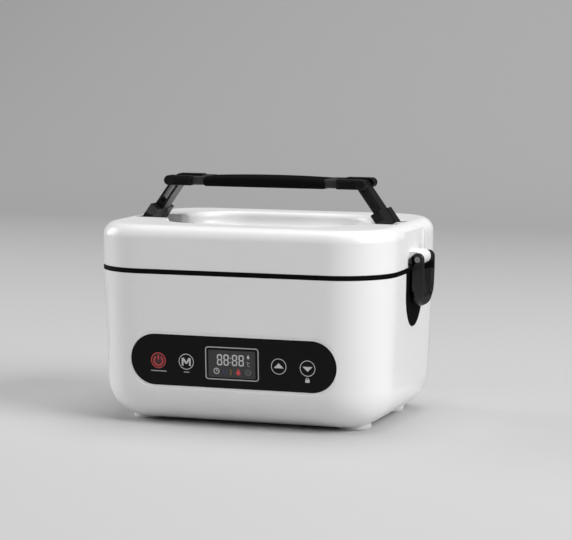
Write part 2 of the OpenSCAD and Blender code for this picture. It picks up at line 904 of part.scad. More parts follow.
arm_pivot_z = top_z - arm_pivot_drop;
lug_t = 8;                      // thickness of the arm's two lugs
lug_l = arm_l * cos(arm_rise) - grip_past - 0.7;     // the lugs end short of the folded grip
lug_in = 5;                     // half the gap between the lugs
knuckle_in = 4.5;               // half the width of the lid's knuckle between them
pocket_y = grip_w / 2 + 1;
pocket_z = arm_pivot_z - lug_t / 2 - 1.5;
pocket_end = arm_pivot_x + lug_t / 2 + 3.4;
pocket_t = 2.2;
arm_pin_end = pocket_y + pocket_t;

latch_x = body_w / 2 + latch_pin_out;
latch_z = lid_z + latch_pin_up;
ear_r = 5;
heel_in = 7.1;                  // how far an ear's heel reaches back from the pin
heel_r = 8.4;                   // the heel's lower side, an arc round the pin
knuckle_r = 5.6;
knuckle_x = latch_x - 3;        // the knuckle's round end lies behind the pin
knuckle_z = latch_z + 0.3;
side_hollow_w = 54;
side_hollow_t = 1.2;

liner_z = lid_z + 3.3;          // underside of the liner's rim
liner_t = 1.6;
liner_plate_z = lid_z + 6.5;
seal_out = flange_r - 0.1;          // outer side of the lid's seal
lid_boss_at = (seal_out + lid_inner - 0.4) / 2 / sqrt(2);     // from a corner's axis, along X and Y
lid_boss_top = top_z - lid_round + 5;

vent_y = 40;
vent_r = 3.6;

module lid_corners() {
    for (x = [-1, 1], y = [-1, 1])
        translate([x * (corner_x + lid_boss_at), y * (corner_y + lid_boss_at), 0])
            children();
}

// The two pockets that the arms fold into, with a knuckle left standing in each
module arm_pockets() {
    for (x = [-1, 1])
        scale([x, 1, 1]) {
            difference() {
                span([58, -pocket_y, pocket_z], [pocket_end, pocket_y, top_z + eps]);
                union() {
                    bar_y(arm_pivot_x, arm_pivot_z, lug_t / 2, -knuckle_in, knuckle_in);
                    span([arm_pivot_x, -knuckle_in, pocket_z - eps],
                         [pocket_end + eps, knuckle_in, arm_pivot_z + lug_t / 2]);
                    span([arm_pivot_x - lug_t / 2, -knuckle_in, pocket_z - eps],
                         [arm_pivot_x + eps, knuckle_in, arm_pivot_z]);
                    span([arm_pivot_x + 2.4, -knuckle_in, arm_pivot_z],
                         [pocket_end + eps, knuckle_in, top_z]);
                }
            }
            bar_y(arm_pivot_x, arm_pivot_z, arm_pin_r + snug, -arm_pin_end - eps, arm_pin_end + eps);
        }
}

module lid_shell() {
    color("white") difference() {
        union() {
            cornered(lid_section, [top_z - wall, top_z]);
            cornered([[0, top_z - well_lip], [well_side + well_t, top_z - well_lip],
                      [well_side + well_t, top_z - 1], [0, top_z - 1]],
                     [top_z - well_lip, top_z - 1], well_x, well_y);
            lid_corners()
                translate([0, 0, liner_z + liner_t])
                    cylinder(r = boss_r, h = lid_boss_top - liner_z - liner_t);
            for (x = [-1, 1])
                scale([x, 1, 1]) {
                    span([body_w / 2 - 1, -knuckle_w / 2, knuckle_z - knuckle_r],
                         [knuckle_x, knuckle_w / 2, knuckle_z + knuckle_r]);
                    bar_y(knuckle_x, knuckle_z, knuckle_r, -knuckle_w / 2, knuckle_w / 2);
                }
        }
        cornered(opening_section, [top_z - well_lip - eps, top_z + eps], well_x, well_y);
        arm_pockets();
        for (x = [-1, 1])
            scale([x, 1, 1]) {
                bar_y(latch_x, latch_z, latch_pin_r + snug, -knuckle_w / 2 - eps, knuckle_w / 2 + eps);
                translate([body_w / 2 - side_hollow_t, 0, lid_z - eps])
                    for (y = [-1, 1])
                        scale([1, y, 1])
                            span([0, knuckle_w / 2, -eps], [6, side_hollow_w / 2, lid_h]);
            }
        lid_corners()
            translate([0, 0, liner_z])
                cylinder(r = pilot_r, h = 12);
    }
}

// The hand well and the arm pockets, one piece welded under the lid's top
module lid_bowl() {
    color("white") difference() {
        union() {
            cornered(bowl_section, [well_z - well_t, step_z], well_x, well_y);
            intersection() {
                for (x = [-1, 1])
                    scale([x, 1, 1])
                        span([60, -pocket_y - pocket_t, pocket_z - pocket_t],
                             [pocket_end + pocket_t, pocket_y + pocket_t, bowl_top]);
                cornered(cavity_section, [lid_z, bowl_top]);
            }
        }
        cornered(well_section, [well_z, top_z + eps], well_x, well_y);
        cornered([[0, step_z], [step_r, step_z], [step_r, top_z], [0, top_z]],
                 [step_z, top_z], well_x, well_y);
        arm_pockets();
        translate([0, vent_y, well_z - well_t - eps])
            cylinder(r = vent_r + snug, h = well_t + 2 * eps);
    }
}

module lid_liner() {
    rim = flange_r - 5;
    color([0.8, 0.8, 0.82]) difference() {
        cornered([
            [0, liner_plate_z], [rim, liner_plate_z], [rim, liner_z],
            [rim + 2.6, liner_z], [rim + 2.6, liner_z + 0.9], [rim + 4, liner_z + 0.9], [rim + 4, liner_z],
            [lid_inner - 0.4, liner_z], [lid_inner - 0.4, liner_z + liner_t],
            [rim + 1.6, liner_z + liner_t], [rim + 1.6, liner_plate_z + liner_t],
            [0, liner_plate_z + liner_t]], [liner_plate_z, liner_plate_z + liner_t]);
        lid_corners()
            translate([0, 0, liner_z - eps])
                cylinder(r = screw_r + slack, h = liner_t + 2 * eps);
        translate([0, vent_y, liner_plate_z - eps])
            cylinder(r = vent_r + snug, h = liner_t + 2 * eps);
    }
}

module lid_seal() {
    rim = flange_r - 5;
    low = flange_z + pot_t + slack;
    color([0.75, 0.75, 0.75])
        cornered([
            [rim + 1.4, liner_z], [rim + 1.4, low + 1.5], [rim + 2.2, low], [rim + 4.2, low],
            [rim + 4.9, low + 1.5], [rim + 4.9, liner_z], [rim + 3.9, liner_z], [rim + 3.9, liner_z + 0.8],
            [rim + 2.7, liner_z + 0.8], [rim + 2.7, liner_z]]);
}

module lid_screws() {
    color("silver") lid_corners() {
        translate([0, 0, liner_z - head_h])
            cylinder(r = head_r, h = head_h);
        translate([0, 0, liner_z - 0.4])
            cylinder(r = screw_r, h = 10);
    }
}

// A soft plug with a steam hole, through the well's floor and the liner
module steam_vent() {
    top = well_z;
    foot = liner_plate_z;
    color([0.85, 0.85, 0.85]) translate([0, vent_y, 0]) difference() {
        union() {
            translate([0, 0, foot - 1.4])
                cylinder(r = vent_r, h = top - foot + 2.4);
            translate([0, 0, top])
                cylinder(r = vent_r + 4, h = 1.4);
            translate([0, 0, top + 1])
                cylinder(r = vent_r + 2, h = 1.6);
            translate([0, 0, foot + liner_t])
                cylinder(r = vent_r + 2, h = top - well_t - foot - liner_t);
        }
        translate([0, 0, foot - 3])
            cylinder(r = 1.2, h = top - foot + 8);
    }
}

module arm_pins() {
    color("silver") for (x = [-1, 1])
        bar_y(x * arm_pivot_x, arm_pivot_z, arm_pin_r, -arm_pin_end, arm_pin_end);
}

module latch_pins() {
    color("gray") for (x = [-1, 1])
        bar_y(x * latch_x, latch_z, latch_pin_r, -latch_w / 2, latch_w / 2);
}

// ---- Latches ----

latch_tip_z = latch_z - latch_l;
ear_gap = 0.4;                  // between an ear and the lid's knuckle
slot_drop = 9;                  // the slot between the ears reaches this far below the pin
scoop_rim = 2.4;                // width of the rim beside the finger hollow

// A lever seen from the front: back, hook, tip, bulging outer face and the round ear with its heel
module lever_side() {
    out = latch_x + ear_r;
    polygon([
        [lever_back, latch_z], [lever_back, catch_z + 5],
        [catch_out + 0.6, catch_z + 3.8], [catch_out + 0.6, catch_z - 1.4],
        [lever_back, catch_z - 1.4], [lever_back + 0.6, (catch_z + latch_tip_z) / 2],
        [lever_back + 2.2, latch_tip_z + 1.4], [lever_back + 3.2, latch_tip_z],
        [lever_back + 4.6, latch_tip_z + 0.4], [lever_back + 6.6, latch_tip_z + 2],
        [out - 1.7, latch_tip_z + 5], [out - 1, latch_tip_z + 10], [out - 0.6, latch_tip_z + 16],
        [out - 0.1, latch_z - 8], [out, latch_z]]);
    translate([latch_x, latch_z]) {
        circle(ear_r);
        heel = acos(heel_in / heel_r);
        lean = acos(ear_r / heel_in);
        polygon(concat(
            [[0, 0], [-ear_r * cos(lean), ear_r * sin(lean)]],
            [for (i = [0:6]) let (a = 180 + heel + (62 - heel) * i / 6) [heel_r * cos(a), heel_r * sin(a)]]));
        polygon([[0, 0], [-ear_r * cos(lean), ear_r * sin(lean)], [-heel_in, 0],
                 [-heel_in, -heel_r * sin(heel)]]);
    }
}

// A lever seen from the side: straight edges and a round tip
module lever_front() {
    half = latch_w / 2;
    tip = 17;
    polygon(concat(
        [[half, ear_r + 1], [half, tip - latch_l]],
        [for (i = [1:15]) let (a = 90 * i / 8) [half * cos(a), (tip - latch_l) - tip * sin(a)]],
        [[-half, tip - latch_l], [-half, ear_r + 1]]));
}

module latch_lever() {
    inner = knuckle_w / 2 + ear_gap;
    difference() {
        intersection() {
            translate([0, latch_w / 2, 0])
                rotate([90, 0, 0])
                    linear_extrude(latch_w)
                        lever_side();
            translate([lever_back - 6, 0, latch_z])
                rotate([90, 0, 90])
                    linear_extrude(26)
                        lever_front();
        }
        span([lever_back - 6, -inner, latch_z - slot_drop], [latch_x + 20, inner, latch_z + 20]);
        translate([0, latch_w / 2 - scoop_rim, 0])
            rotate([90, 0, 0])
                linear_extrude(latch_w - 2 * scoop_rim)
                    polygon([
                        [latch_x + 0.4, latch_z - slot_drop + 1], [latch_x + 0.6, latch_z - 16],
                        [latch_x + 1.6, latch_tip_z + 10], [latch_x + 6, latch_tip_z + 7],
                        [latch_x + 12, latch_tip_z + 7], [latch_x + 12, latch_z - slot_drop + 1]]);
        bar_y(latch_x, latch_z, latch_pin_r + running, -latch_w, latch_w);
    }
}

module latch_right() {
    color([0.06, 0.06, 0.06])
        latch_lever();
}

module latch_left() {
    color([0.06, 0.06, 0.06])
        scale([-1, 1, 1])
            latch_lever();
}

// ---- Handle ----

pin_rest_x = arm_pivot_x - arm_l * cos(arm_rise);
pin_rest_z = arm_pivot_z + arm_l * sin(arm_rise);
pin_down_x = arm_pivot_x - arm_l;
// The pin rides up and down in its groove as the arm swings, by this much
swing = arm_l * (sin(acos(sin(arm_rise) / (arm_rise * PI / 180)))
    - acos(sin(arm_rise) / (arm_rise * PI / 180)) * PI / 180 * sin(arm_rise) / (arm_rise * PI / 180));
grip_z = pin_rest_z + swing / 2;
arm_rail = 1.8;                 // thickness of an arm's rails, beside the slot through it
arm_end = 3.4;                  // the slot stops this far before the grip's pin
cheek_in = arm_w / 2 + 0.45;    // inner face of a cheek
groove_y = grip_w / 2 - 4.8;    // bottom of the groove in a cheek
groove_clear = 0.15;
grip_pin_y = groove_y - 0.2;
neck_end = sleeve_l / 2 + 9.6;
cheek_end = pin_rest_x + grip_past;
fork_in = pin_down_x - arm_t / 2 - 0.6;
tenon_y0 = groove_y + 0.8;
tenon_y1 = grip_w / 2 - 2;
tenon_end = cheek_end - 5;

// The right arm in its own frame: X from the lid's pin to the grip's pin
module arm_shape() {
    crotch = lug_t / 2 + 0.5;
    difference() {
        union() {
            span([crotch, -arm_w / 2, -arm_t / 2], [arm_l, arm_w / 2, arm_t / 2]);
            bar_y(arm_l, 0, arm_t / 2, -arm_w / 2, arm_w / 2);
            for (y = [-1, 1])
                scale([1, y, 1]) {
                    span([0, lug_in, -lug_t / 2], [lug_l, grip_w / 2, lug_t / 2]);
                    bar_y(0, 0, lug_t / 2, lug_in, grip_w / 2);
                }
        }
        span([lug_l + 4.2, -arm_w, -arm_t / 2 + arm_rail], [arm_l - arm_end, arm_w, arm_t / 2 - arm_rail]);
        bar_y(0, 0, arm_pin_r + running, -grip_w, grip_w);
        bar_y(arm_l, 0, grip_pin_r + snug, -grip_w, grip_w);
    }
}

module arm_left() {
    color([0.08, 0.08, 0.08])
        translate([-arm_pivot_x, 0, arm_pivot_z])
            rotate([0, -arm_rise, 0])
                arm_shape();
}

module arm_right() {
    color([0.08, 0.08, 0.08])
        scale([-1, 1, 1])
            translate([-arm_pivot_x, 0, arm_pivot_z])
                rotate([0, -arm_rise, 0])
                    arm_shape();
}

module grip_pin_left() {
    color("silver")
        bar_y(-pin_rest_x, pin_rest_z, grip_pin_r, -grip_pin_y, grip_pin_y);
}

module grip_pin_right() {
    color("silver")
        bar_y(pin_rest_x, pin_rest_z, grip_pin_r, -grip_pin_y, grip_pin_y);
}

// Puts children at all four ends of the grip
module grip_ends() {
    for (x = [-1, 1], y = [-1, 1])
        scale([x, y, 1])
            children();
}

// The groove that the pin slides along, in one rail
module pin_groove() {
    reach = swing / 2 + grip_pin_r + groove_clear;
    span([pin_down_x - grip_pin_r - slack, 0, grip_z - reach],
         [pin_rest_x + grip_pin_r + slack, groove_y, grip_z + reach]);
}

core_t = grip_t - 1;
core_w = grip_w - 5;

module grip_core() {
    color([0.3, 0.3, 0.31]) difference() {
        union() {
            span([-sleeve_l / 2 - 0.4, -core_w / 2, grip_z - 2.4],
                 [sleeve_l / 2 + 0.4, core_w / 2, grip_z + 2.4]);
            grip_ends() {
                span([sleeve_l / 2, 0, grip_z - core_t / 2], [neck_end, core_w / 2, grip_z + core_t / 2]);
                span([neck_end - 1, tenon_y0, grip_z - 2], [tenon_end, tenon_y1, grip_z + 2]);
            }
        }
        for (x = [-1, 1])
            scale([x, 1, 1])
                span([fork_in, -cheek_in, grip_z - 10], [neck_end + 20, cheek_in, grip_z + 10]);
        grip_ends()
            pin_groove();
        grip_ends()
            translate([neck_end + 12, (tenon_y0 + tenon_y1) / 2, grip_z - 3])
                cylinder(r = 0.85, h = 6);
    }
}

module grip_cheeks() {
    color([0.05, 0.05, 0.05]) grip_ends() difference() {
        union() {
            span([neck_end, cheek_in, grip_z - grip_t / 2],
                 [cheek_end - grip_t / 2, grip_w / 2, grip_z + grip_t / 2]);
            bar_y(cheek_end - grip_t / 2, grip_z, grip_t / 2, cheek_in, grip_w / 2);
        }
        pin_groove();
        span([neck_end - eps, tenon_y0 - snug, grip_z - 2 - snug],
             [tenon_end + 0.2, tenon_y1 + snug, grip_z + 2 + snug]);
        span([neck_end + 1.4, grip_w / 2 - 0.6, grip_z - 2.7], [neck_end + 16.4, grip_w, grip_z + 2.7]);
        translate([neck_end + 12, (tenon_y0 + tenon_y1) / 2, grip_z - grip_t])
            cylinder(r = 1.1, h = grip_t);
        translate([neck_end + 12, (tenon_y0 + tenon_y1) / 2, grip_z - grip_t])
            cylinder(r = 1.9, h = grip_t / 2 + 1);
    }
}

module grip_screws() {
    low = grip_z - grip_t / 2;
    color("silver") grip_ends()
        translate([neck_end + 12, (tenon_y0 + tenon_y1) / 2, low]) {
            cylinder(r = 1.8, h = 1);
            cylinder(r = 0.8, h = grip_t / 2 + 1.8);
        }
}

module grip_sleeve() {
    half_w = grip_w / 2;
    round_r = sleeve_t / 2 - 0.6;
    color([0.1, 0.1, 0.1]) translate([-sleeve_l / 2, 0, grip_z])
        rotate([90, 0, 90])
            linear_extrude(sleeve_l)
                difference() {
                    union() {
                        square([grip_w - 2 * round_r, sleeve_t], center = true);
                        square([grip_w, sleeve_t - 2 * round_r], center = true);
                        for (x = [-1, 1], y = [-1, 1])
                            translate([x * (half_w - round_r), y * (sleeve_t / 2 - round_r)])
                                circle(round_r);
                    }
                    square([core_w + 2 * snug, 4.8 + 2 * snug], center = true);
                }
}

// ---- Food tray ----

tray_r = pot_r - pot_t - tray_gap;
tray_z = pot_z + pot_t + tray_lift;
tray_rim_z = flange_z + pot_t + slack;
tray_rim_r = tray_r + 6;
tray_round = 10;
tray_lid_z = tray_rim_z + tray_t + 1.5;
tray_lid_t = 1.3;

module food_tray() {
    color([0.8, 0.8, 0.82])
        cornered(pan_section(tray_r, tray_t, tray_z, tray_round, tray_rim_z, tray_rim_r),
                 [tray_z, tray_z + tray_t]);
}

module tray_lid() {
    out = tray_rim_r + 1.6;
    color([0.9, 0.9, 0.9]) {
        cornered([
            [0, tray_lid_z], [tray_rim_r + 0.5, tray_lid_z], [tray_rim_r + 0.5, tray_rim_z + 0.2],
            [out, tray_rim_z + 0.2], [out, tray_lid_z + tray_lid_t], [0, tray_lid_z + tray_lid_t]],
            [tray_lid_z, tray_lid_z + tray_lid_t]);
        rounded_plate(120, 60, 16, tray_lid_z + tray_lid_t - 0.4, tray_lid_z + tray_lid_t + 1);
    }
}

module tray_seal() {
    low = tray_rim_z + tray_t + slack;
    color([0.4, 0.6, 0.7])
        cornered([
            [tray_r + 1, low], [tray_r + 4.6, low], [tray_r + 4.6, tray_lid_z], [tray_r + 1, tray_lid_z]]);
}

housing_shell();
base_cover();
base_screws();
feet();
collar_frame();
heating_pot();
heater_plate();
heater_clamp();
heater_nuts();
thermostat();
thermal_fuse();
temperature_sensor();
control_panel();
panel_holder();
panel_screws();
display_module();
display_board();
touch_springs();
power_board();
board_parts();
board_screws();
inlet_socket();
inlet_pins();
inlet_screws();
mains_leads();
heater_leads();
display_lead();
lid_shell();
lid_bowl();
lid_liner();
lid_seal();
lid_screws();
steam_vent();
latch_pins();
arm_pins();
latch_left();
latch_right();
arm_left();
arm_right();
grip_pin_left();
grip_pin_right();
grip_core();
grip_cheeks();
grip_sleeve();
grip_screws();
food_tray();
tray_lid();
tray_seal();
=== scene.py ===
import math

import bmesh
import bpy
from mathutils import Matrix, Vector


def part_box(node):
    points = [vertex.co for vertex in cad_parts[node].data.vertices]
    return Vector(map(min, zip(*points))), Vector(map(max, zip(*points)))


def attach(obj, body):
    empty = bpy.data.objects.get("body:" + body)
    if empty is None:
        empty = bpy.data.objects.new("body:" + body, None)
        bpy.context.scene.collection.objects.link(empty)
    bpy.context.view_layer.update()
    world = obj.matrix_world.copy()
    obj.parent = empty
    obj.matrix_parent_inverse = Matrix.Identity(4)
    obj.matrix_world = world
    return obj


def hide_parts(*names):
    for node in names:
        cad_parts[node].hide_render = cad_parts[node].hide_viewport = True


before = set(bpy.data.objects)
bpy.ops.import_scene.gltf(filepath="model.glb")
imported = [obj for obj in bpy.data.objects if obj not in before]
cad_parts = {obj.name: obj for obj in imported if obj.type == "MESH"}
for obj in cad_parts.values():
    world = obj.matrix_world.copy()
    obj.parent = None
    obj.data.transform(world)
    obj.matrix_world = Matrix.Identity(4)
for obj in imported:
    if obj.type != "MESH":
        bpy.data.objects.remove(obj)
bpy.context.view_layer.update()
mm = 0.001

# Sizes are in millimetres. Each piece starts with a dictionary of what can be changed.


def boxOf(node):
    low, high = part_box(node)
    return low / mm, high / mm


def centreOf(node):
    low, high = boxOf(node)
    return (low + high) / 2


# Ways to make a mesh

def makePiece(name, points, faces):
    mesh = bpy.data.meshes.new(name)
    mesh.from_pydata([Vector(p) * mm for p in points], [], faces)
    work = bmesh.new()
    work.from_mesh(mesh)
    bmesh.ops.remove_doubles(work, verts=work.verts, dist=1e-8)
    bmesh.ops.recalc_face_normals(work, faces=work.faces)
    work.to_mesh(mesh)
    work.free()
    piece = bpy.data.objects.new(name, mesh)
    bpy.context.scene.collection.objects.link(piece)
    return piece


def arc(x, y, radius, start, end, steps=8):
    angles = [math.radians(start + (end - start) * i / steps) for i in range(steps + 1)]
    return [(x + radius * math.cos(a), y + radius * math.sin(a)) for a in angles]


def disc(x, y, radius, z, steps=56):
    angles = [2 * math.pi * k / steps for k in range(steps)]
    return [(x + radius * math.cos(a), y + radius * math.sin(a), z) for a in angles]


# A closed row of points round a box with round corners, at one height
def ring(axisX, axisY, radius, z, cornerSteps=16, sideSteps=(12, 8)):
    points = []
    corners = ((1, 1), (-1, 1), (-1, -1), (1, -1))
    for k, (sx, sy) in enumerate(corners):
        for x, y in arc(sx * axisX, sy * axisY, radius, 90 * k, 90 * k + 90, cornerSteps):
            points.append((x, y, z))
        start = points[-1]
        nx, ny = corners[(k + 1) % 4]
        after = math.radians(90 * k + 90)
        end = (nx * axisX + radius * math.cos(after), ny * axisY + radius * math.sin(after))
        for i in range(1, sideSteps[k % 2]):
            t = i / sideSteps[k % 2]
            points.append((start[0] + (end[0] - start[0]) * t, start[1] + (end[1] - start[1]) * t, z))
    return points


# Joins rows of points into a skin; the ends are capped unless the last row meets the first
def loft(name, rows, joined=False):
    count = len(rows[0])
    faces = []
    for i in range(len(rows) if joined else len(rows) - 1):
        j = (i + 1) % len(rows)
        for k in range(count):
            n = (k + 1) % count
            faces.append((i * count + k, i * count + n, j * count + n, j * count + k))
    if not joined:
        faces.append(tuple(reversed(range(count))))
        faces.append(tuple(range((len(rows) - 1) * count, len(rows) * count)))
    return makePiece(name, [p for row in rows for p in row], faces)


# Moves each point of a flat outline inwards
def inset(outline, distance):
    area = sum(a[0] * b[1] - b[0] * a[1] for a, b in zip(outline, outline[1:] + outline[:1]))
    turn = 1 if area > 0 else -1
    moved = []
    for i, p in enumerate(outline):
        before, after = outline[i - 1], outline[(i + 1) % len(outline)]
        a = Vector((p[0] - before[0], p[1] - before[1])).normalized()
        b = Vector((after[0] - p[0], after[1] - p[1])).normalized()
        normal = Vector((-(a.y + b.y), a.x + b.x))
        if normal.length < 1e-6:
            moved.append(tuple(p))
            continue
        normal.normalize()
        reach = distance / max(0.35, normal.dot(Vector((-a.y, a.x))))
        moved.append((p[0] + turn * normal.x * reach, p[1] + turn * normal.y * reach))
    return moved


# A flat outline made thick, with round upper and lower edges
def plate(name, outline, low, high, upper=0.0, lower=0.0, steps=4):
    rows = []
    if lower:
        rows += [(lower * (1 - math.sin(a)), low + lower * (1 - math.cos(a)))
                 for a in [math.pi / 2 * i / steps for i in range(steps + 1)]]
    else:
        rows.append((0, low))
    if upper:
        rows += [(upper * (1 - math.cos(a)), high - upper * (1 - math.sin(a)))
                 for a in [math.pi / 2 * i / steps for i in range(steps + 1)]]
    else:
        rows.append((0, high))
    return loft(name, [[(x, y, z) for x, y in (inset(outline, d) if d else outline)] for d, z in rows])


# A cutter whose upper rim flares, so that it leaves a round edge in the face it cuts
def flared(name, outline, low, face, rim, floor=0.0, steps=4):
    rows = [(floor * (1 - math.sin(a)), low + floor * (1 - math.cos(a)))
            for a in [math.pi / 2 * i / steps for i in range(steps + 1)]] if floor else [(0, low)]
    rows += [(-rim * (1 - math.cos(a)), face - rim * (1 - math.sin(a)))
             for a in [math.pi / 2 * i / steps for i in range(steps + 1)]]
    rows.append((-rim - 0.02, face + 3))
    return loft(name, [[(x, y, z) for x, y in (inset(outline, d) if d else outline)] for d, z in rows])


def box2d(length, width, radius=0.0, steps=6, x=0.0, y=0.0):
    if not radius:
        return [(x - length / 2, y - width / 2), (x + length / 2, y - width / 2),
                (x + length / 2, y + width / 2), (x - length / 2, y + width / 2)]
    ax, ay = length / 2 - radius, width / 2 - radius
    points = []
    for k, (sx, sy) in enumerate(((1, 1), (-1, 1), (-1, -1), (1, -1))):
        points += arc(x + sx * ax, y + sy * ay, radius, 90 * k, 90 * k + 90, steps)
    return [p for i, p in enumerate(points) if math.dist(p, points[i - 1]) > 1e-6]


def block(name, low, high, edge=0.0):
    outline = [(low[0], low[1]), (high[0], low[1]), (high[0], high[1]), (low[0], high[1])]
    piece = loft(name, [[(x, y, z) for x, y in outline] for z in (low[2], high[2])])
    return soften(piece, edge) if edge else piece


# A round bar along Y
def barY(name, x, z, radius, low, high, edge=0.0, steps=40):
    rows = [(radius, low), (radius, high)]
    if edge:
        rows = [(radius - edge, low), (radius, low + edge), (radius, high - edge), (radius - edge, high)]
    angles = [2 * math.pi * k / steps for k in range(steps)]
    return loft(name, [[(x + r * math.cos(a), y, z + r * math.sin(a)) for a in angles] for r, y in rows])


def bake(piece):
    made = bpy.data.meshes.new_from_object(piece.evaluated_get(bpy.context.evaluated_depsgraph_get()))
    piece.modifiers.clear()
    old = piece.data
    piece.data = made
    bpy.data.meshes.remove(old)
    return piece


def combine(piece, tool, how="DIFFERENCE"):
    change = piece.modifiers.new("shape", "BOOLEAN")
    change.operation = how
    change.solver = "EXACT"
    change.object = tool
    bake(piece)
    mesh = tool.data
    bpy.data.objects.remove(tool)
    bpy.data.meshes.remove(mesh)
    return piece


def soften(piece, width, segments=2, angle=40):
    change = piece.modifiers.new("edges", "BEVEL")
    change.width = width * mm
    change.segments = segments
    change.limit_method = "ANGLE"
    change.angle_limit = math.radians(angle)
    return bake(piece)


def move(piece, matrix):
    piece.data.transform(matrix)
    if matrix.determinant() < 0:
        piece.data.flip_normals()
    return piece


def copyOf(piece, name, matrix):
    twin = bpy.data.objects.new(name, piece.data.copy())
    bpy.context.scene.collection.objects.link(twin)
    return move(twin, matrix)


def joinAll(name, pieces):
    points, faces = [], []
    for piece in pieces:
        start = len(points)
        points += [v.co / mm for v in piece.data.vertices]
        faces += [tuple(start + i for i in p.vertices) for p in piece.data.polygons]
        mesh = piece.data
        bpy.data.objects.remove(piece)
        bpy.data.meshes.remove(mesh)
    mesh = bpy.data.meshes.new(name)
    mesh.from_pydata([Vector(p) * mm for p in points], [], faces)
    piece = bpy.data.objects.new(name, mesh)
    bpy.context.scene.collection.objects.link(piece)
    return piece


mirrorX = Matrix.Scale(-1, 4, (1, 0, 0))
swapYZ = Matrix(((1, 0, 0, 0), (0, 0, 1, 0), (0, 1, 0, 0), (0, 0, 0, 1)))


def finish(piece, body, nodes, material, angle=32):
    mesh = piece.data
    mesh.polygons.foreach_set("use_smooth", [True] * len(mesh.polygons))
    mesh.set_sharp_from_angle(angle=math.radians(angle))
    mesh.materials.clear()
    mesh.materials.append(material)
    even = piece.modifiers.new("even", "WEIGHTED_NORMAL")
    even.keep_sharp = True
    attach(piece, body)
    if nodes:
        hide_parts(*nodes)
    return piece


# Materials

def newMaterial(name):
    material = bpy.data.materials.new(name)
    material.use_nodes = True
    nodes, links = material.node_tree.nodes, material.node_tree.links
    shader = nodes["Principled BSDF"]
    place = nodes.new("ShaderNodeTexCoord")
    return material, nodes, links, shader, place.outputs["Object"]


def noiseAt(nodes, links, place, scale, detail=3.0, stretch=None):
    noise = nodes.new("ShaderNodeTexNoise")
    noise.inputs["Scale"].default_value = scale
    noise.inputs["Detail"].default_value = detail
    if stretch:
        mapping = nodes.new("ShaderNodeMapping")
        mapping.inputs["Scale"].default_value = stretch
        links.new(place, mapping.inputs["Vector"])
        place = mapping.outputs["Vector"]
    links.new(place, noise.inputs["Vector"])
    return noise.outputs["Fac"]


def spread(nodes, links, value, low, high):
    mapped = nodes.new("ShaderNodeMapRange")
    mapped.interpolation_type = "SMOOTHSTEP"
    mapped.inputs["From Min"].default_value = 0.2
    mapped.inputs["From Max"].default_value = 0.8
    mapped.inputs["To Min"].default_value = low
    mapped.inputs["To Max"].default_value = high
    links.new(value, mapped.inputs["Value"])
    return mapped.outputs["Result"]


def bumpFrom(nodes, links, shader, value, strength, distance):
    bump = nodes.new("ShaderNodeBump")
    bump.inputs["Strength"].default_value = strength
    bump.inputs["Distance"].default_value = distance
    links.new(value, bump.inputs["Height"])
    links.new(bump.outputs["Normal"], shader.inputs["Normal"])


def blendColour(nodes, links, shader, value, first, second):
    mix = nodes.new("ShaderNodeMix")
    mix.data_type = "RGBA"
    mix.inputs["A"].default_value = (*first, 1)
    mix.inputs["B"].default_value = (*second, 1)
    links.new(value, mix.inputs["Factor"])
    links.new(mix.outputs["Result"], shader.inputs["Base Color"])


# A darker and a lighter shade of one colour
def shadesOf(colour, shade):
    return [c * (1 - shade) for c in colour], [min(1, c * (1 + shade)) for c in colour]


# Moulded plastic or rubber: a faint change of shade, uneven gloss and a fine moulded grain
def moulded(name, colour, rough, grain=0.02, grainScale=2600, shade=0.03, gloss=0.5, sub=0.0):
    material, nodes, links, shader, place = newMaterial(name)
    slow = noiseAt(nodes, links, place, 18)
    blendColour(nodes, links, shader, slow, *shadesOf(colour, shade))
    links.new(spread(nodes, links, noiseAt(nodes, links, place, 55), rough * 0.94, rough * 1.06),
              shader.inputs["Roughness"])
    bumpFrom(nodes, links, shader, noiseAt(nodes, links, place, grainScale, 2), grain, 0.0004)
    shader.inputs["Specular IOR Level"].default_value = gloss
    if sub:
        shader.inputs["Subsurface Weight"].default_value = sub
        shader.inputs["Subsurface Radius"].default_value = (0.004, 0.003, 0.002)
    return material


# Drawn, brushed or turned metal: fine lines along one way
def brushed(name, colour, rough, stretch=(6, 400, 400), depth=0.06, shade=0.06):
    material, nodes, links, shader, place = newMaterial(name)
    lines = noiseAt(nodes, links, place, 6, 4, stretch)
    blendColour(nodes, links, shader, lines, *shadesOf(colour, shade))
    links.new(spread(nodes, links, lines, rough * 0.8, rough * 1.25), shader.inputs["Roughness"])
    bumpFrom(nodes, links, shader, lines, depth, 0.0003)
    shader.inputs["Metallic"].default_value = 1
    return material


# Circuit board: solder mask with tracks under it
def boardMaterial(name, mask, track):
    material, nodes, links, shader, place = newMaterial(name)
    bricks = nodes.new("ShaderNodeTexBrick")
    bricks.inputs["Scale"].default_value = 150
    bricks.inputs["Mortar Size"].default_value = 0.03
    bricks.inputs["Color1"].default_value = (*mask, 1)
    bricks.inputs["Color2"].default_value = (*[c * 0.85 for c in mask], 1)
    bricks.inputs["Mortar"].default_value = (*track, 1)
    links.new(place, bricks.inputs["Vector"])
    links.new(bricks.outputs["Color"], shader.inputs["Base Color"])
    bumpFrom(nodes, links, shader, bricks.outputs["Fac"], 0.1, 0.0002)
    shader.inputs["Roughness"].default_value = 0.35
    return material


# Printed ink with a painted glow: besides its colour, the mark emits light of that colour at the given
# strength
def glowing(name, colour, strength, rough=0.4):
    material, nodes, links, shader, place = newMaterial(name)
    blendColour(nodes, links, shader, noiseAt(nodes, links, place, 400), [c * 0.97 for c in colour], colour)
    shader.inputs["Roughness"].default_value = rough
    shader.inputs["Emission Color"].default_value = (*colour, 1)
    shader.inputs["Emission Strength"].default_value = strength
    return material


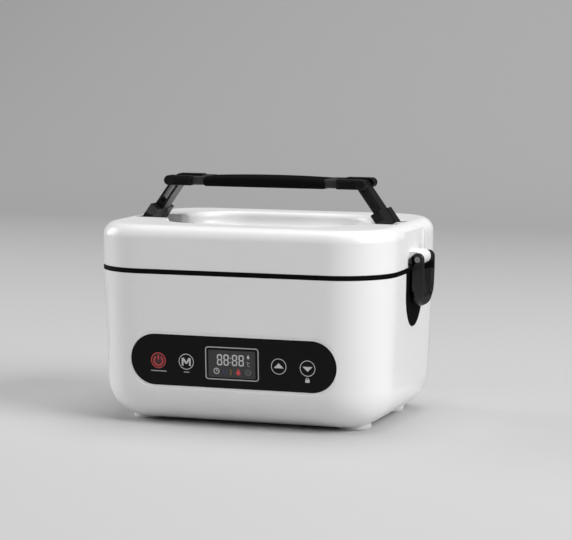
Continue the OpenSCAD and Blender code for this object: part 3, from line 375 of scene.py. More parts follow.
white = moulded("whiteGloss", (0.86, 0.86, 0.86), 0.30, 0.012, 3000, 0.006)
footWhite = moulded("footRubber", (0.72, 0.72, 0.72), 0.6, 0.05, 1800, 0.03)
bandBlack = moulded("bandBlack", (0.004, 0.004, 0.004), 0.5, 0.03, 2200, 0.1, 0.03)
panelGloss = moulded("panelGloss", (0.0022, 0.0022, 0.0022), 0.10, 0.0, 3000, 0.05, 0.12)
latchBlack = moulded("latchBlack", (0.009, 0.009, 0.009), 0.25, 0.02, 2400, 0.1, 0.3)
handleBlack = moulded("handleBlack", (0.0045, 0.0045, 0.0045), 0.27, 0.02, 2400, 0.1, 0.22)
armBlack = moulded("armBlack", (0.010, 0.010, 0.010), 0.3, 0.02, 2400, 0.1, 0.25)
neckGrey = moulded("neckGrey", (0.03, 0.03, 0.031), 0.45, 0.02, 2400, 0.08, 0.25)
sleeveSoft = moulded("sleeveSoft", (0.0045, 0.0045, 0.0045), 0.8, 0.12, 1400, 0.12, 0.03)
plasticBlack = moulded("plasticBlack", (0.015, 0.015, 0.015), 0.5, 0.04, 1800, 0.1)
holderWhite = moulded("holderWhite", (0.7, 0.7, 0.7), 0.5, 0.04, 1600, 0.03)
linerWhite = moulded("linerWhite", (0.74, 0.74, 0.75), 0.32, 0.02, 2000, 0.02)
coverClear = moulded("coverFrosted", (0.76, 0.78, 0.8), 0.38, 0.03, 1500, 0.02, sub=0.1)
silicone = moulded("silicone", (0.6, 0.6, 0.6), 0.55, 0.05, 1500, 0.04, sub=0.2)
siliconeBlue = moulded("siliconeBlue", (0.14, 0.3, 0.45), 0.5, 0.05, 1500, 0.06, sub=0.2)
leadCover = moulded("leadCover", (0.42, 0.05, 0.03), 0.4, 0.05, 900, 0.1)
leadBrown = moulded("leadBrown", (0.12, 0.05, 0.02), 0.4, 0.05, 900, 0.1)
leadGrey = moulded("leadGrey", (0.5, 0.5, 0.5), 0.45, 0.05, 900, 0.05)
fuseCase = moulded("fuseCase", (0.6, 0.53, 0.38), 0.25, 0.02, 1200, 0.06)
partBlack = moulded("boardPartPlastic", (0.03, 0.03, 0.035), 0.4, 0.05, 1500, 0.2)
screwSteel = brushed("screwSteel", (0.55, 0.55, 0.57), 0.3, (60, 60, 60))
springSteel = brushed("springSteel", (0.6, 0.6, 0.6), 0.25, (300, 300, 30))
clampSteel = brushed("clampSteel", (0.5, 0.5, 0.52), 0.35)
pinSteel = brushed("pinSteel", (0.25, 0.25, 0.26), 0.4, (400, 6, 400))
pinBrass = brushed("pinBrass", (0.72, 0.5, 0.2), 0.25, (400, 8, 400))
potMetal = brushed("potMetal", (0.55, 0.55, 0.56), 0.38, (40, 40, 900), 0.08)
heaterAlloy = brushed("heaterAlloy", (0.45, 0.45, 0.46), 0.42, (4, 300, 300), 0.12)
traySteel = brushed("traySteel", (0.66, 0.66, 0.67), 0.2, (30, 30, 900), 0.05)
boardGreen = boardMaterial("boardGreen", (0.01, 0.09, 0.03), (0.03, 0.2, 0.07))
lcdGlass = moulded("displayGlass", (0.03, 0.032, 0.035), 0.15, 0.0, 3000, 0.1)
print("materials made")

# Housing

body = {
    "cornerRadius": 44,
    "draft": 2.5,          # degrees that the sides lean in towards the bottom
    "bottomRound": 30,
    "wall": 2.6,
    "rim": 0.45,           # round edge next to the band
}
coverHole = {"gap": 0.3, "corner": 12, "depth": 3.2, "ledge": 5}
landing = {"rim": 2.3, "depth": 0.5, "edge": 0.25, "floor": 0.15, "gap": 0.15}

shellLow, shellHigh = boxOf("housing_shell")
halfW, halfD, rimZ, floorZ = shellHigh.x, -shellLow.y, shellHigh.z, shellLow.z
cornerX, cornerY = halfW - body["cornerRadius"], halfD - body["cornerRadius"]
leanAngle = math.radians(body["draft"])
lean = math.tan(leanAngle)


# Places things on a leaning wall: X along it, Y up it and Z out of it
def onWall(turn, half, z, draft):
    out = half - (rimZ - z) * math.tan(math.radians(draft))
    return (Matrix.Rotation(math.radians(turn), 4, "Z") @ Matrix.Translation((0, -out * mm, z * mm))
            @ Matrix.Rotation(math.radians(90 + draft), 4, "X"))


def bodyRing(radius, z):
    return ring(cornerX, cornerY, radius, z)


bowlZ = floorZ + body["bottomRound"]
bowlX = body["cornerRadius"] - (rimZ - bowlZ) * lean - body["bottomRound"] / math.cos(leanAngle)
outer = arc(bowlX, bowlZ, body["bottomRound"], -90, -body["draft"], 14)
outer += [(body["cornerRadius"] - (rimZ - z) * lean, z) for z in (55, 75, 95, rimZ - 1.5)]
outer += arc(body["cornerRadius"] - body["rim"], rimZ - body["rim"], body["rim"], -body["draft"], 90, 4)
inner = arc(bowlX, bowlZ, body["bottomRound"] - body["wall"], -body["draft"], -90, 10)
inner = [(body["cornerRadius"] - body["wall"], rimZ)] + inner
housing = loft("housing", [bodyRing(r, z) for r, z in outer + inner])

coverLow, coverHigh = boxOf("base_cover")
coverL, coverW = coverHigh.x - coverLow.x, coverHigh.y - coverLow.y
ledgeTop = floorZ + coverHole["depth"] + 3
hole = coverHole["corner"] - coverHole["ledge"]
combine(housing, plate("ledge", box2d(coverL + 6, coverW + 6, 15), floorZ + 0.02, ledgeTop), "UNION")
combine(housing, plate("way", box2d(coverL - 10, coverW - 10, hole), -5, 20))
combine(housing, plate("seat", box2d(coverL + 2 * coverHole["gap"], coverW + 2 * coverHole["gap"], 12.3), -5,
                       floorZ + coverHole["depth"]))

panelLow, panelHigh = boxOf("control_panel")
panelL = panelHigh.x - panelLow.x
panelZ = centreOf("control_panel").z + 0.03
panelH = (panelHigh.z - panelLow.z - 1.8 * math.sin(leanAngle)) / math.cos(leanAngle)
onPanel = onWall(0, halfD, panelZ, body["draft"])


def stadium(length, height, steps=20):
    return box2d(length, height, height / 2 - 1e-4, steps)


land = landing["rim"]
combine(housing, move(flared("land", stadium(panelL + 2 * land, panelH + 2 * land), -landing["depth"], 0,
                             landing["edge"], landing["floor"]), onPanel))
combine(housing, move(plate("bed", stadium(panelL + 2 * landing["gap"], panelH + 2 * landing["gap"]), -2,
                            5), onPanel))
window = {"length": 139, "height": 26, "deep": 14}   # lets the panel's parts through the wall
combine(housing, move(plate("window", stadium(window["length"], window["height"]), -window["deep"], 2),
                      onPanel))
inletMid = centreOf("inlet_socket")
onInlet = onWall(180, halfD, inletMid.z, body["draft"])
inletHole = {"length": 27.4, "height": 20, "corner": 1, "deep": 12}
inletOutline = box2d(inletHole["length"], inletHole["height"], inletHole["corner"])
combine(housing, move(plate("inletHole", inletOutline, -inletHole["deep"], 6), onInlet))


# The catch plate's outline, from its top edge down to the tip
def catchOutline(grow, drop, width, top):
    half, tip = width / 2 + grow, drop * 0.66 + grow
    low = tip - drop - grow
    side = [((half - 1.5) * math.cos(math.radians(90 * i / 16)),
             low - tip * math.sin(math.radians(90 * i / 16)) ** 1.15) for i in range(16)]
    return ([(half, top), (half, 0), *side, (0, -drop - grow)] + [(-x, y) for x, y in reversed(side)]
            + [(-half, 0), (-half, top)])


catchPlate = {"width": 49, "lean": 2.0, "thick": 2.6, "proud": 0.5, "edge": 0.6, "gap": 0.2}
catchDrop = (rimZ - boxOf("collar_frame")[0].z) / math.cos(math.radians(catchPlate["lean"])) - 0.05
for turn in (90, 270):
    recess = flared("recess", catchOutline(catchPlate["gap"], catchDrop, catchPlate["width"], 3),
                    catchPlate["proud"] - catchPlate["thick"] - 0.2, 0.2, 0.2)
    combine(housing, move(recess, onWall(turn, halfW, rimZ, catchPlate["lean"])))
foot = {"radius": 13.3, "edge": 0.8, "groove": 9.6, "grooveWidth": 1.2, "grooveDepth": 0.35}
feetHigh = boxOf("feet")[1]
footX, footY = feetHigh.x - foot["radius"], feetHigh.y - foot["radius"]


for x in (-footX, footX):
    for y in (-footY, footY):
        combine(housing, loft("seat", [disc(x, y, foot["radius"], z) for z in (floorZ + 0.02,
                                                                               floorZ + 4.4)]), "UNION")
finish(housing, "base", ["housing_shell"], white)
print("housing made")

# Feet

section = [(0.001, 0.0), (foot["groove"] - foot["grooveWidth"], 0.0),
           (foot["groove"] - foot["grooveWidth"] + 0.25, foot["grooveDepth"]), (foot["groove"] - 0.25,
                                                                                foot["grooveDepth"]),
           (foot["groove"], 0.0)]
section += arc(foot["radius"] - foot["edge"], foot["edge"], foot["edge"], -90, 0, 5)
section += [(foot["radius"], floorZ - 0.02), (3.0, floorZ - 0.02), (3.0, floorZ + 3.3), (0.001, floorZ + 3.3)]
pads = []
for x in (-footX, footX):
    for y in (-footY, footY):
        pads.append(loft("pad", [disc(x, y, r, z) for r, z in section]))
finish(joinAll("footPads", pads), "base", ["feet"], footWhite)

# Band

band = {"edge": 0.35, "inset": 0.12}
lidZ = boxOf("collar_frame")[1].z
potRim = boxOf("heating_pot")[1].x - cornerX
potZ = boxOf("heating_pot")[1].z
out, edge = body["cornerRadius"] - band["inset"], band["edge"]
skirt = body["cornerRadius"] - body["wall"] - 0.5
section = arc(out - edge, rimZ + edge, edge, -90, 0, 3) + arc(out - edge, lidZ - edge, edge, 0, 90, 3)
section += [(potRim + 0.4, lidZ), (potRim + 0.4, potZ - 1), (potRim - 9.4, potZ - 1), (potRim - 9.4,
                                                                                       potZ - 4),
            (skirt - 2.4, potZ - 4), (skirt - 2.4, rimZ - 7), (skirt, rimZ - 7), (skirt, rimZ)]
bandPiece = loft("band", [bodyRing(r, z) for r, z in section], joined=True)
catches = []
for turn in (90, 270):
    outline = catchOutline(0, catchDrop, catchPlate["width"], lidZ - rimZ - 0.3)
    tongue = plate("tongue", outline, catchPlate["proud"] - catchPlate["thick"], catchPlate["proud"],
                   catchPlate["edge"], 0, 4)
    catches.append(move(tongue, onWall(turn, halfW, rimZ, catchPlate["lean"])))
ridge = {"low": 100.0, "reach": 121.7, "width": 20}
for side in (1, -1):
    rows = []
    for x, z in ((halfW - 1.5, ridge["low"]), (ridge["reach"] - 0.25, ridge["low"]), (ridge["reach"],
                                                                                      ridge["low"] + 0.25),
                 (ridge["reach"], ridge["low"] + 0.9), (halfW - 1.5, ridge["low"] + 3.2)):
        rows.append((side * x, z))
    half = ridge["width"] / 2
    hook = loft("hook", [[(x, y, z) for x, z in rows] for y in (-half, half)])
    catches.append(soften(hook, 0.2))
for tongue in catches:
    combine(bandPiece, tongue, "UNION")
finish(bandPiece, "base", ["collar_frame"], bandBlack)
print("band made")

# Control panel and its marks

panel = {"thick": 1.8, "edge": 0.4, "face": -0.15}
glass = plate("panel", stadium(panelL, panelH, 28), panel["face"] - panel["thick"], panel["face"],
              panel["edge"], 0, 5)
finish(move(glass, onPanel), "base", ["control_panel"], panelGloss)

marks = {
    "key": 6.15,           # outer radius of a key's ring
    "line": 0.5,
    "drop": 0.7,           # the keys' centres lie this far below the panel's middle
    "inner": 37.7,
    "outer": 60.8,
    "thick": 0.03,
}
printed = {"white": [], "silver": [], "grey": [], "dim": [], "red": [], "redDark": [], "lcd": [],
           "blue": [], "yellow": []}


def mark(colour, outline, height=1):
    face = panel["face"] + marks["thick"] * (height - 1)
    printed[colour].append(plate("mark", outline, face - 0.01, face + marks["thick"]))


def hoop(colour, x, y, radius, width, start=0, end=360, height=1, steps=48):
    face = panel["face"] + marks["thick"] * (height - 1)
    if end - start >= 360:
        low, top = face - 0.01, face + marks["thick"]
        rings = ((radius, low), (radius, top), (radius - width, top), (radius - width, low))
        printed[colour].append(loft("mark", [disc(x, y, r, z, steps) for r, z in rings], joined=True))
    else:
        turn = arc(x, y, radius, start, end, steps)
        turn += reversed(arc(x, y, radius - width, start, end, steps))
        mark(colour, turn, height)


def stroke(colour, x0, y0, x1, y1, width, height=1):
    a, b = Vector((x0, y0)), Vector((x1, y1))
    side = (b - a).normalized().orthogonal() * width / 2
    mark(colour, [tuple(a - side), tuple(b - side), tuple(b + side), tuple(a + side)], height)


def frameMark(colour, x, y, length, width, radius, line, height=1):
    face = panel["face"] + marks["thick"] * (height - 1)
    outerLine = box2d(length, width, radius, 6, x, y)
    innerLine = box2d(length - 2 * line, width - 2 * line, radius - line, 6, x, y)
    low, top = face - 0.01, face + marks["thick"]
    edges = ((outerLine, low), (outerLine, top), (innerLine, top), (innerLine, low))
    rows = [[(px, py, z) for px, py in edge] for edge, z in edges]
    printed[colour].append(loft("mark", rows, joined=True))


# Power key
powerX, keyR, keyY = -marks["outer"], marks["key"], -marks["drop"]
mark("redDark", arc(powerX, keyY, keyR - 0.6, 0, 352.5, 47))
hoop("red", powerX, keyY, keyR, 0.6, height=2)
hoop("red", powerX, keyY - 0.3, 4.0, 1.0, 125, 415, 2)
stroke("red", powerX, keyY + 0.6, powerX, keyY + 4.1, 1.0, 2)
stroke("grey", powerX - 6.4, -8.9, powerX + 6.6, -9.0, 0.9)
# Mode key
modeX = -marks["inner"]
hoop("white", modeX, keyY, keyR, marks["line"])
for x0, y0, x1, y1 in ((-3.0, -3.1, -3.0, 2.9), (3.0, -3.1, 3.0, 2.9), (-2.6, 2.8, 0, -1.5), (2.6, 2.8, 0,
                                                                                              -1.5)):
    stroke("white", modeX + x0, keyY + y0, modeX + x1, keyY + y1, 1.4)
stroke("grey", modeX - 2.2, -8.8, modeX + 2.4, -8.9, 0.8)
# Arrow keys
for x, turn, drop in ((marks["inner"], 1, 0), (marks["outer"], -1, 0.4)):
    y = keyY - drop
    hoop("white", x, y, keyR, marks["line"])
    mark("white", [(x - 4.0, y - 1.3 * turn), (x + 4.0, y - 1.3 * turn), (x, y + 2.5 * turn)])
lockX = marks["outer"] - 0.2
mark("white", box2d(3.4, 2.5, 0.3, 3, lockX, -10.8))
hoop("white", lockX, -9.6, 1.35, 0.5, 0, 180, steps=16)
# Display
display = {"x": -0.2, "y": -0.6, "length": 43.5, "height": 25.6, "round": 2.4, "line": 0.8}
frameMark("silver", display["x"], display["y"], display["length"], display["height"], display["round"],
          display["line"])
mark("lcd", box2d(38.2, 21.2, 0.8, 4, display["x"] - 0.1, display["y"] - 0.3))


def digit(x, y, width, height, line, colour="white"):
    half = height / 2
    gap = 0.22
    for dy in (-half + line / 2, 0, half - line / 2):
        stroke(colour, x - width / 2 + line * 0.7, y + dy, x + width / 2 - line * 0.7, y + dy, line, 2)
    for dx in (-width / 2 + line / 2, width / 2 - line / 2):
        for side in (-1, 1):
            stroke(colour, x + dx, y + side * (gap + line * 0.2), x + dx, y + side * (half - line * 0.6),
                   line, 2)


for x in (-10.2, -4.9, 2.0, 7.4):
    digit(x, 2.2, 4.2, 8.6, 0.95)
for y in (0.4, 3.8):
    mark("white", box2d(0.9, 0.9, 0.3, 3, -1.5, y), 2)


def dropMark(colour, x, y, size, height=2):
    outline = arc(x, y - size * 0.15, size * 0.5, 150, 390, 16)
    mark(colour, outline + [(x, y + size * 0.85)], height)


dropMark("white", 13.1, 5.1, 2.1)
hoop("grey", 12.4, 1.1, 0.7, 0.3, height=2, steps=16)
hoop("grey", 13.8, -0.6, 1.5, 0.45, 60, 300, 2, 16)
hoop("white", -12.8, -6.6, 2.4, 0.6, height=2, steps=32)
stroke("white", -12.8, -6.6, -12.8, -5.2, 0.5, 2)
stroke("white", -12.8, -6.6, -11.6, -6.6, 0.5, 2)
hoop("blue", -5.9, -6.6, 2.1, 0.9, 120, 420, 2, 20)
stroke("yellow", -1.2, -8.5, -1.2, -4.9, 0.9, 2)
mark("yellow", arc(-1.2, -8.4, 0.8, 0, 345, 15), 2)
dropMark("red", 4.9, -7.0, 3.5)
hoop("dim", 12.9, -6.8, 2.4, 0.5, height=2, steps=32)
hoop("dim", 12.9, -6.0, 1.4, 0.5, 200, 340, 2, 12)

# Inks of the printed marks; each but the window also gets a painted glow, its emission strength is the number
# after the colour
glowingInks = {
    "white": glowing("inkWhiteGlow", (0.50, 0.50, 0.50), 0.12),
    "silver": glowing("inkSilverGlow", (0.42, 0.42, 0.42), 0.05),
    "grey": glowing("inkGreyGlow", (0.30, 0.30, 0.30), 0.05),
    "dim": glowing("inkDimGlow", (0.13, 0.13, 0.13), 0.05),
    "red": glowing("inkRedGlow", (0.42, 0.035, 0.04), 0.25),
    "redDark": glowing("inkRedDarkGlow", (0.035, 0.002, 0.003), 0.1),
    "lcd": glowing("inkWindow", (0.022, 0.022, 0.023), 0.0, 0.2),
    "blue": glowing("inkBlueGlow", (0.02, 0.03, 0.10), 0.1),
    "yellow": glowing("inkYellowGlow", (0.16, 0.11, 0.01), 0.1),
}
for colour, ink in glowingInks.items():
    finish(move(joinAll("mark_" + colour, printed[colour]), onPanel), "base", [], ink)
print("panel made")

# Lid

lid = {
    "topRound": 10.5,
    "wall": 2.6,
    "wellX": 37.0,         # the well's corner axes
    "wellY": 15.0,
    "wellRadius": 45.0,
    "wellDepth": 13.0,
    "wellWall": 2.4,
    "lip": 4.5,
    "foot": 8.0,
    "edge": 0.45,
}
topZ = boxOf("lid_shell")[1].z
wellZ = topZ - lid["wellDepth"]
wellSide = lid["wellRadius"] - lid["lip"]


def wellRing(radius, z):
    return ring(lid["wellX"], lid["wellY"], radius, z)


corner, thick = body["cornerRadius"], lid["wall"]
roundR, roundX, roundZ = lid["topRound"], corner - lid["topRound"], topZ - lid["topRound"]
wallOut = wellSide + lid["wellWall"]
stepZ, stepR = topZ - lid["lip"] - 0.02, wallOut + 0.02
stepLow, bowlTop = stepZ - lid["wellWall"], topZ - thick - 0.02
rows = [wellRing(wallOut, topZ - thick), wellRing(wallOut, topZ - lid["lip"])]
rows += [wellRing(r, z) for r, z in arc(lid["wellRadius"], topZ - lid["lip"], lid["lip"], 180, 90, 8)]
rows += [bodyRing(r, z) for r, z in arc(roundX, roundZ, roundR, 90, 0, 12)]
rows += [bodyRing(corner, z) for z in (topZ - 18, lidZ + 6)]
rows += [bodyRing(r, z) for r, z in arc(corner - lid["edge"], lidZ + lid["edge"], lid["edge"], 0, -90, 4)]
rows += [bodyRing(corner - thick, lidZ)]
rows += [bodyRing(r, z) for r, z in arc(roundX, roundZ, roundR - thick, 0, 90, 8)]
lidPiece = loft("lid", rows, joined=True)

footCentre = (wellSide - lid["foot"], wellZ + lid["foot"])
well = [wellRing(r, z) for r, z in arc(*footCentre, lid["foot"], -90, 0, 10)]
turn = math.degrees(math.asin((footCentre[1] - stepLow) / (lid["foot"] + lid["wellWall"])))
rows = well + [wellRing(r, z) for r, z in
               ((wellSide, stepZ), (stepR, stepZ), (stepR, bowlTop), (stepR + 7.4, bowlTop), (stepR + 7.4,
                                                                                              bowlTop - 2),
                (stepR + 2.4, bowlTop - 2), (stepR + 2.4, stepLow))]
rows += [wellRing(r, z) for r, z in arc(*footCentre, lid["foot"] + lid["wellWall"], -turn, -90, 8)]
bowl = loft("lidBowl", rows)

armPins = boxOf("arm_pins")
armPinR = (armPins[1].z - armPins[0].z) / 2
pivotX, pivotZ = armPins[1].x - armPinR, centreOf("arm_pins").z
latchPins = boxOf("latch_pins")
latchPinR = (latchPins[1].z - latchPins[0].z) / 2
latchX, latchZ = latchPins[1].x - latchPinR, centreOf("latch_pins").z

pocket = {"end": pivotX + 7.4, "half": 18.0, "floor": pivotZ - 5.5, "corner": 3.0, "rim": 1.0, "wall": 2.2,
          "knuckle": 4.5, "knuckleRadius": 4.0}
latchKnuckle = {"width": 26.4, "radius": 5.6, "behind": 3.0, "above": 0.3, "edge": 0.4}
sideHollow = {"half": 27.0, "depth": 1.3}
mouth = 8.0                # the pocket's side walls turn out into the well with this radius
for side in (1, -1):
    flip = Matrix.Identity(4) if side == 1 else mirrorX
    walls = block("walls", (60, -pocket["half"] - pocket["wall"], pocket["floor"] - pocket["wall"]),
                  (pocket["end"] + pocket["wall"], pocket["half"] + pocket["wall"], bowlTop))
    cavity = [(corner - thick - 0.02, lidZ)]
    cavity += arc(roundX, roundZ, roundR - thick - 0.02, 0, 90, 8)
    combine(walls, loft("cavity", [bodyRing(r, z) for r, z in cavity]), "INTERSECT")
    combine(bowl, move(walls, flip), "UNION")
combine(bowl, loft("hollow", well[:-1] + [wellRing(wellSide, z) for z in (footCentre[1], topZ + 2)]))
combine(bowl, loft("lipRoom", [wellRing(stepR, z) for z in (stepZ, topZ + 2)]))
for side in (1, -1):
    flip = Matrix.Identity(4) if side == 1 else mirrorX
    wide, inner = pocket["half"], pocket["corner"]
    turnX = lid["wellX"] + wellSide - 1.5 + mouth
    opening = arc(pocket["end"] - inner, inner - wide, inner, -90, 0, 6)
    opening += arc(pocket["end"] - inner, wide - inner, inner, 0, 90, 6)
    opening += arc(turnX, wide + mouth, mouth, 270, 180, 10)
    opening += [(turnX - mouth - 6, wide + mouth), (turnX - mouth - 6, -wide - mouth)]
    opening += arc(turnX, -wide - mouth, mouth, 180, 90, 10)
    combine(bowl, move(plate("pocket", opening, pocket["floor"], topZ + 2, 0, 1.0), flip))
    combine(lidPiece, move(flared("pocket", opening, pocket["floor"], topZ, pocket["rim"]), flip))
    low, half, out = pocket["floor"] - 1, pocket["knuckle"], pocket["end"] + 1
    knuckle = barY("knuckle", pivotX, pivotZ, pocket["knuckleRadius"], -half, half)
    combine(knuckle, block("web", (pivotX + 2.4, -half, low), (out, half, bowlTop)), "UNION")
    combine(knuckle, block("web", (pivotX - 4, -half, low), (out, half, pivotZ)), "UNION")
    combine(bowl, move(knuckle, flip), "UNION")
    bridge = block("bridge", (pivotX + 2.4, -half, topZ - thick), (out + 1, half, topZ - 0.15), 0.3)
    combine(lidPiece, move(bridge, flip), "UNION")
    # The wall is hollowed beside the latch, up into the rounded top edge
    width = sideHollow["half"]
    hollow = flared("hollow", box2d(2 * width, 60, 1.2, 4, 0, 0), halfW - sideHollow["depth"], halfW, 0.2,
                    0.3)
    hollow.data.transform(Matrix.Rotation(math.radians(90), 4, "Z") @ Matrix.Rotation(math.radians(90), 4,
                                                                                      "X"))
    hollow.data.transform(Matrix.Translation((0, 0, (lidZ + 22) * mm)))
    combine(lidPiece, move(hollow, flip))
    half = latchKnuckle["width"] / 2
    knuckleX, knuckleR = latchX - latchKnuckle["behind"], latchKnuckle["radius"]
    knuckleZ = latchZ + latchKnuckle["above"]
    outline = arc(knuckleX, knuckleZ, knuckleR, -90, 90, 24)
    outline += [(halfW - 2.2, knuckleZ + knuckleR), (halfW - 2.2, knuckleZ - knuckleR)]
    knuckle = plate("knuckle", outline, -half, half, latchKnuckle["edge"], latchKnuckle["edge"])
    combine(lidPiece, move(move(knuckle, swapYZ), flip), "UNION")
    combine(lidPiece, move(barY("bore", latchX, latchZ, latchPinR + 0.02, -half - 1, half + 1), flip))
vent = centreOf("steam_vent")
ventHole = 3.62
combine(bowl, loft("ventHole", [disc(vent.x, vent.y, ventHole, z, 40) for z in (wellZ - 5, wellZ + 2)]))
finish(bowl, "lid", ["lid_bowl"], white)
finish(lidPiece, "lid", ["lid_shell"], white)
print("lid made")

# Latch levers

lever = {
    "half": 16.5,
    "ear": 5.0,
    "heelIn": 7.1,         # the ears' heels reach this far back from the pin
    "heelRound": 8.4,
    "tip": 17.0,           # height of the round lower end
    "back": halfW + 1.0,
    "backEdge": 1.3,
    "frontEdge": 0.7,
    "slotDrop": 9.0,       # the slot between the ears ends this far below the pin
    "rim": 2.0,            # rim round the finger hollow
    "hollowLow": 7.6,      # the hollow's lower end above the tip
    "wall": 1.6,           # how steeply the hollow drops beside its rim
    "deep": 2.2,           # and how much further it sinks towards its middle
}
tipZ = boxOf("latch_right")[0].z
leverOut = latchX + lever["ear"]
outwards = [(5, leverOut - 1.7), (10, leverOut - 1.0), (16, leverOut - 0.6), (28, leverOut - 0.1), (38,
                                                                                                    leverOut)]
inner = latchKnuckle["width"] / 2 + 0.4


def along(table, value):
    for (a, u), (b, v) in zip(table, table[1:]):
        if value <= b:
            return u + (v - u) * max(0, value - a) / (b - a)
    return table[-1][1]


def ease(value):
    value = max(0, min(1, value))
    return value * value * (3 - 2 * value)


# Depth of the finger hollow at one point of the lever's outer face
def hollowAt(y, height, half):
    side = min(half - lever["rim"], inner if height > 27 else 99) - abs(y)
    low = height - lever["hollowLow"]
    inside = min(side, low) - 3 * max(0, 1 - abs(side - low) / 3) ** 2 / 4
    if inside <= 0:
        return 0
    middle = 0.3 + 0.7 * ease((height - 10) / 15)
    return lever["wall"] * ease(inside / 2.6) + lever["deep"] * ease(inside / 8) * middle


def leverRow(z):
    height = z - tipZ
    half = lever["half"] * math.sqrt(max(0.0009, 1 - max(0, 1 - height / lever["tip"]) ** 2))
    back = lever["back"] + 0.6 * max(0, min(1, (hookLow - z) / 4))
    back += 2.6 * (1 - math.sqrt(1 - max(0, 1 - height / 4) ** 2))
    back += 1.3 if hookLow < z < hookHigh else 0
    front = along(outwards, height)
    if height < 5:
        start = lever["back"] + 3.3
        front = start + (front - start) * math.sqrt(1 - (1 - height / 5) ** 2)
    edgeB = min(lever["backEdge"], half * 0.6, (front - back) * 0.4)
    edgeF = min(lever["frontEdge"], half * 0.6, (front - back) * 0.3)
    row = arc(back + edgeB, edgeB - half, edgeB, 180, 270, 5) + arc(front - edgeF, edgeF - half, edgeF, 270,
                                                                    360, 4)
    count = 56
    for i in range(1, count):
        y = (half - edgeF) * (2 * i / count - 1)
        row.append((front - hollowAt(y, height, half), y))
    row += arc(front - edgeF, half - edgeF, edgeF, 0, 90, 4) + arc(back + edgeB, half - edgeB, edgeB, 90,
                                                                   180, 5)
    return [(x, y, z) for x, y in row]


hookLow, hookHigh = ridge["low"] - 1.4, ridge["low"] + 3.8
steps = (0, 0.04, 0.12, 0.25, 0.5, 0.9, 1.5, 2.3, 3.3, 4.5, 5.6, 6.6, 7.3, 7.7, 8.0, 8.3, 8.6, 8.9, 9.3,
         9.8, 10.5, 11.5, 12.7,
         14, 15.5, 17, 19, 21, 23, 25, 26.9, 27.1, 29, 31, 33, 35)
heights = {tipZ + h for h in steps} | {hookLow - 0.01, hookLow + 0.01, hookHigh - 0.01, hookHigh + 0.01,
                                       latchZ}
leverPiece = loft("leverRight", [leverRow(z) for z in sorted(heights)])
combine(leverPiece, barY("ear", latchX, latchZ, lever["ear"], -lever["half"], lever["half"], 0.5, 56),
        "UNION")
heel, rise = math.acos(lever["heelIn"] / lever["heelRound"]), math.acos(lever["ear"] / lever["heelIn"])
outline = [(0.3, -2), (0.3, 2), (-lever["ear"] * math.cos(rise), lever["ear"] * math.sin(rise)),
           (-lever["heelIn"], 0)]
outline += arc(0, 0, lever["heelRound"], 180 + math.degrees(heel), 242, 8)
heelPiece = plate("heel", [(latchX + x, latchZ + z) for x, z in outline], -lever["half"], lever["half"],
                  0.9, 0.9)
combine(leverPiece, move(heelPiece, swapYZ), "UNION")
slotLow = (lever["back"] - 9, -inner, latchZ - lever["slotDrop"])
combine(leverPiece, block("slot", slotLow, (latchX + 20, inner, latchZ + 20)))
combine(leverPiece, barY("bore", latchX, latchZ, latchPinR + 0.05, -30, 30))
leverLeft = copyOf(leverPiece, "leverLeft", mirrorX)
finish(leverPiece, "latch_right", ["latch_right"], latchBlack)
finish(leverLeft, "latch_left", ["latch_left"], latchBlack)
print("latches made")

# Handle

gripPins = boxOf("grip_pin_right")
gripPin = centreOf("grip_pin_right")
gripPinR = (gripPins[1].z - gripPins[0].z) / 2
armLength = math.hypot(pivotX - gripPin.x, gripPin.z - pivotZ)
armRise = math.atan2(gripPin.z - pivotZ, pivotX - gripPin.x)
gripHalf = boxOf("grip_cheeks")[1].y
arm = {"thick": 7.4, "width": 14.5, "edge": 0.45, "lug": 16.8, "lugThick": 8.0, "lugIn": 5.0, "rail": 1.8,
       "slotStart": 21.0, "slotEnd": 3.4}

half, halfT = arm["width"] / 2, arm["thick"] / 2
armPiece = block("armLeft", (arm["lugThick"] / 2 + 0.5, -half, -halfT), (armLength, half, halfT))
combine(armPiece, barY("end", armLength, 0, halfT, -half, half, 0.0, 40), "UNION")
for y in (-1, 1):
    near, far = sorted((y * arm["lugIn"], y * gripHalf))
    combine(armPiece, block("lug", (0, near, -arm["lugThick"] / 2), (arm["lug"], far, arm["lugThick"] / 2)),
            "UNION")
    combine(armPiece, barY("lugEnd", 0, 0, arm["lugThick"] / 2, near, far, 0.0, 40), "UNION")
soften(armPiece, arm["edge"], 2, 50)
rail = halfT - arm["rail"]
combine(armPiece, block("slot", (arm["slotStart"], -half - 3, -rail), (armLength - arm["slotEnd"], half + 3,
                                                                       rail), 0.6))
combine(armPiece, barY("bore", 0, 0, armPinR + 0.05, -30, 30))
combine(armPiece, barY("bore", armLength, 0, gripPinR + 0.02, -30, 30))
move(armPiece, Matrix.Translation((-pivotX * mm, 0, pivotZ * mm)) @ Matrix.Rotation(-armRise, 4, "Y"))
armTwin = copyOf(armPiece, "armRight", mirrorX)
finish(armPiece, "arm_left", ["arm_left"], armBlack)
finish(armTwin, "arm_right", ["arm_right"], armBlack)

grip = {
    "neckStart": boxOf("grip_sleeve")[1].x,
    "neckEnd": boxOf("grip_sleeve")[1].x + 9.6,
    "coreThick": 6.8,
    "coreWidth": 29.0,
    "cheekIn": 7.7,
    "neckEdge": 1.5,
    "sleeveThick": boxOf("grip_sleeve")[1].z - boxOf("grip_sleeve")[0].z,
    "sleeveDrop": 1.1,     # how much lower the sleeve's top is at its ends
    "sleeveRound": 3.4,
}
gripZ = centreOf("grip_cheeks").z
cheekEnd = boxOf("grip_cheeks")[1].x
cheekHalf = (boxOf("grip_cheeks")[1].z - boxOf("grip_cheeks")[0].z) / 2
pinDownX = pivotX - armLength
forkIn = pinDownX - halfT - 0.6
reach = gripZ - gripPin.z + gripPinR + 0.15

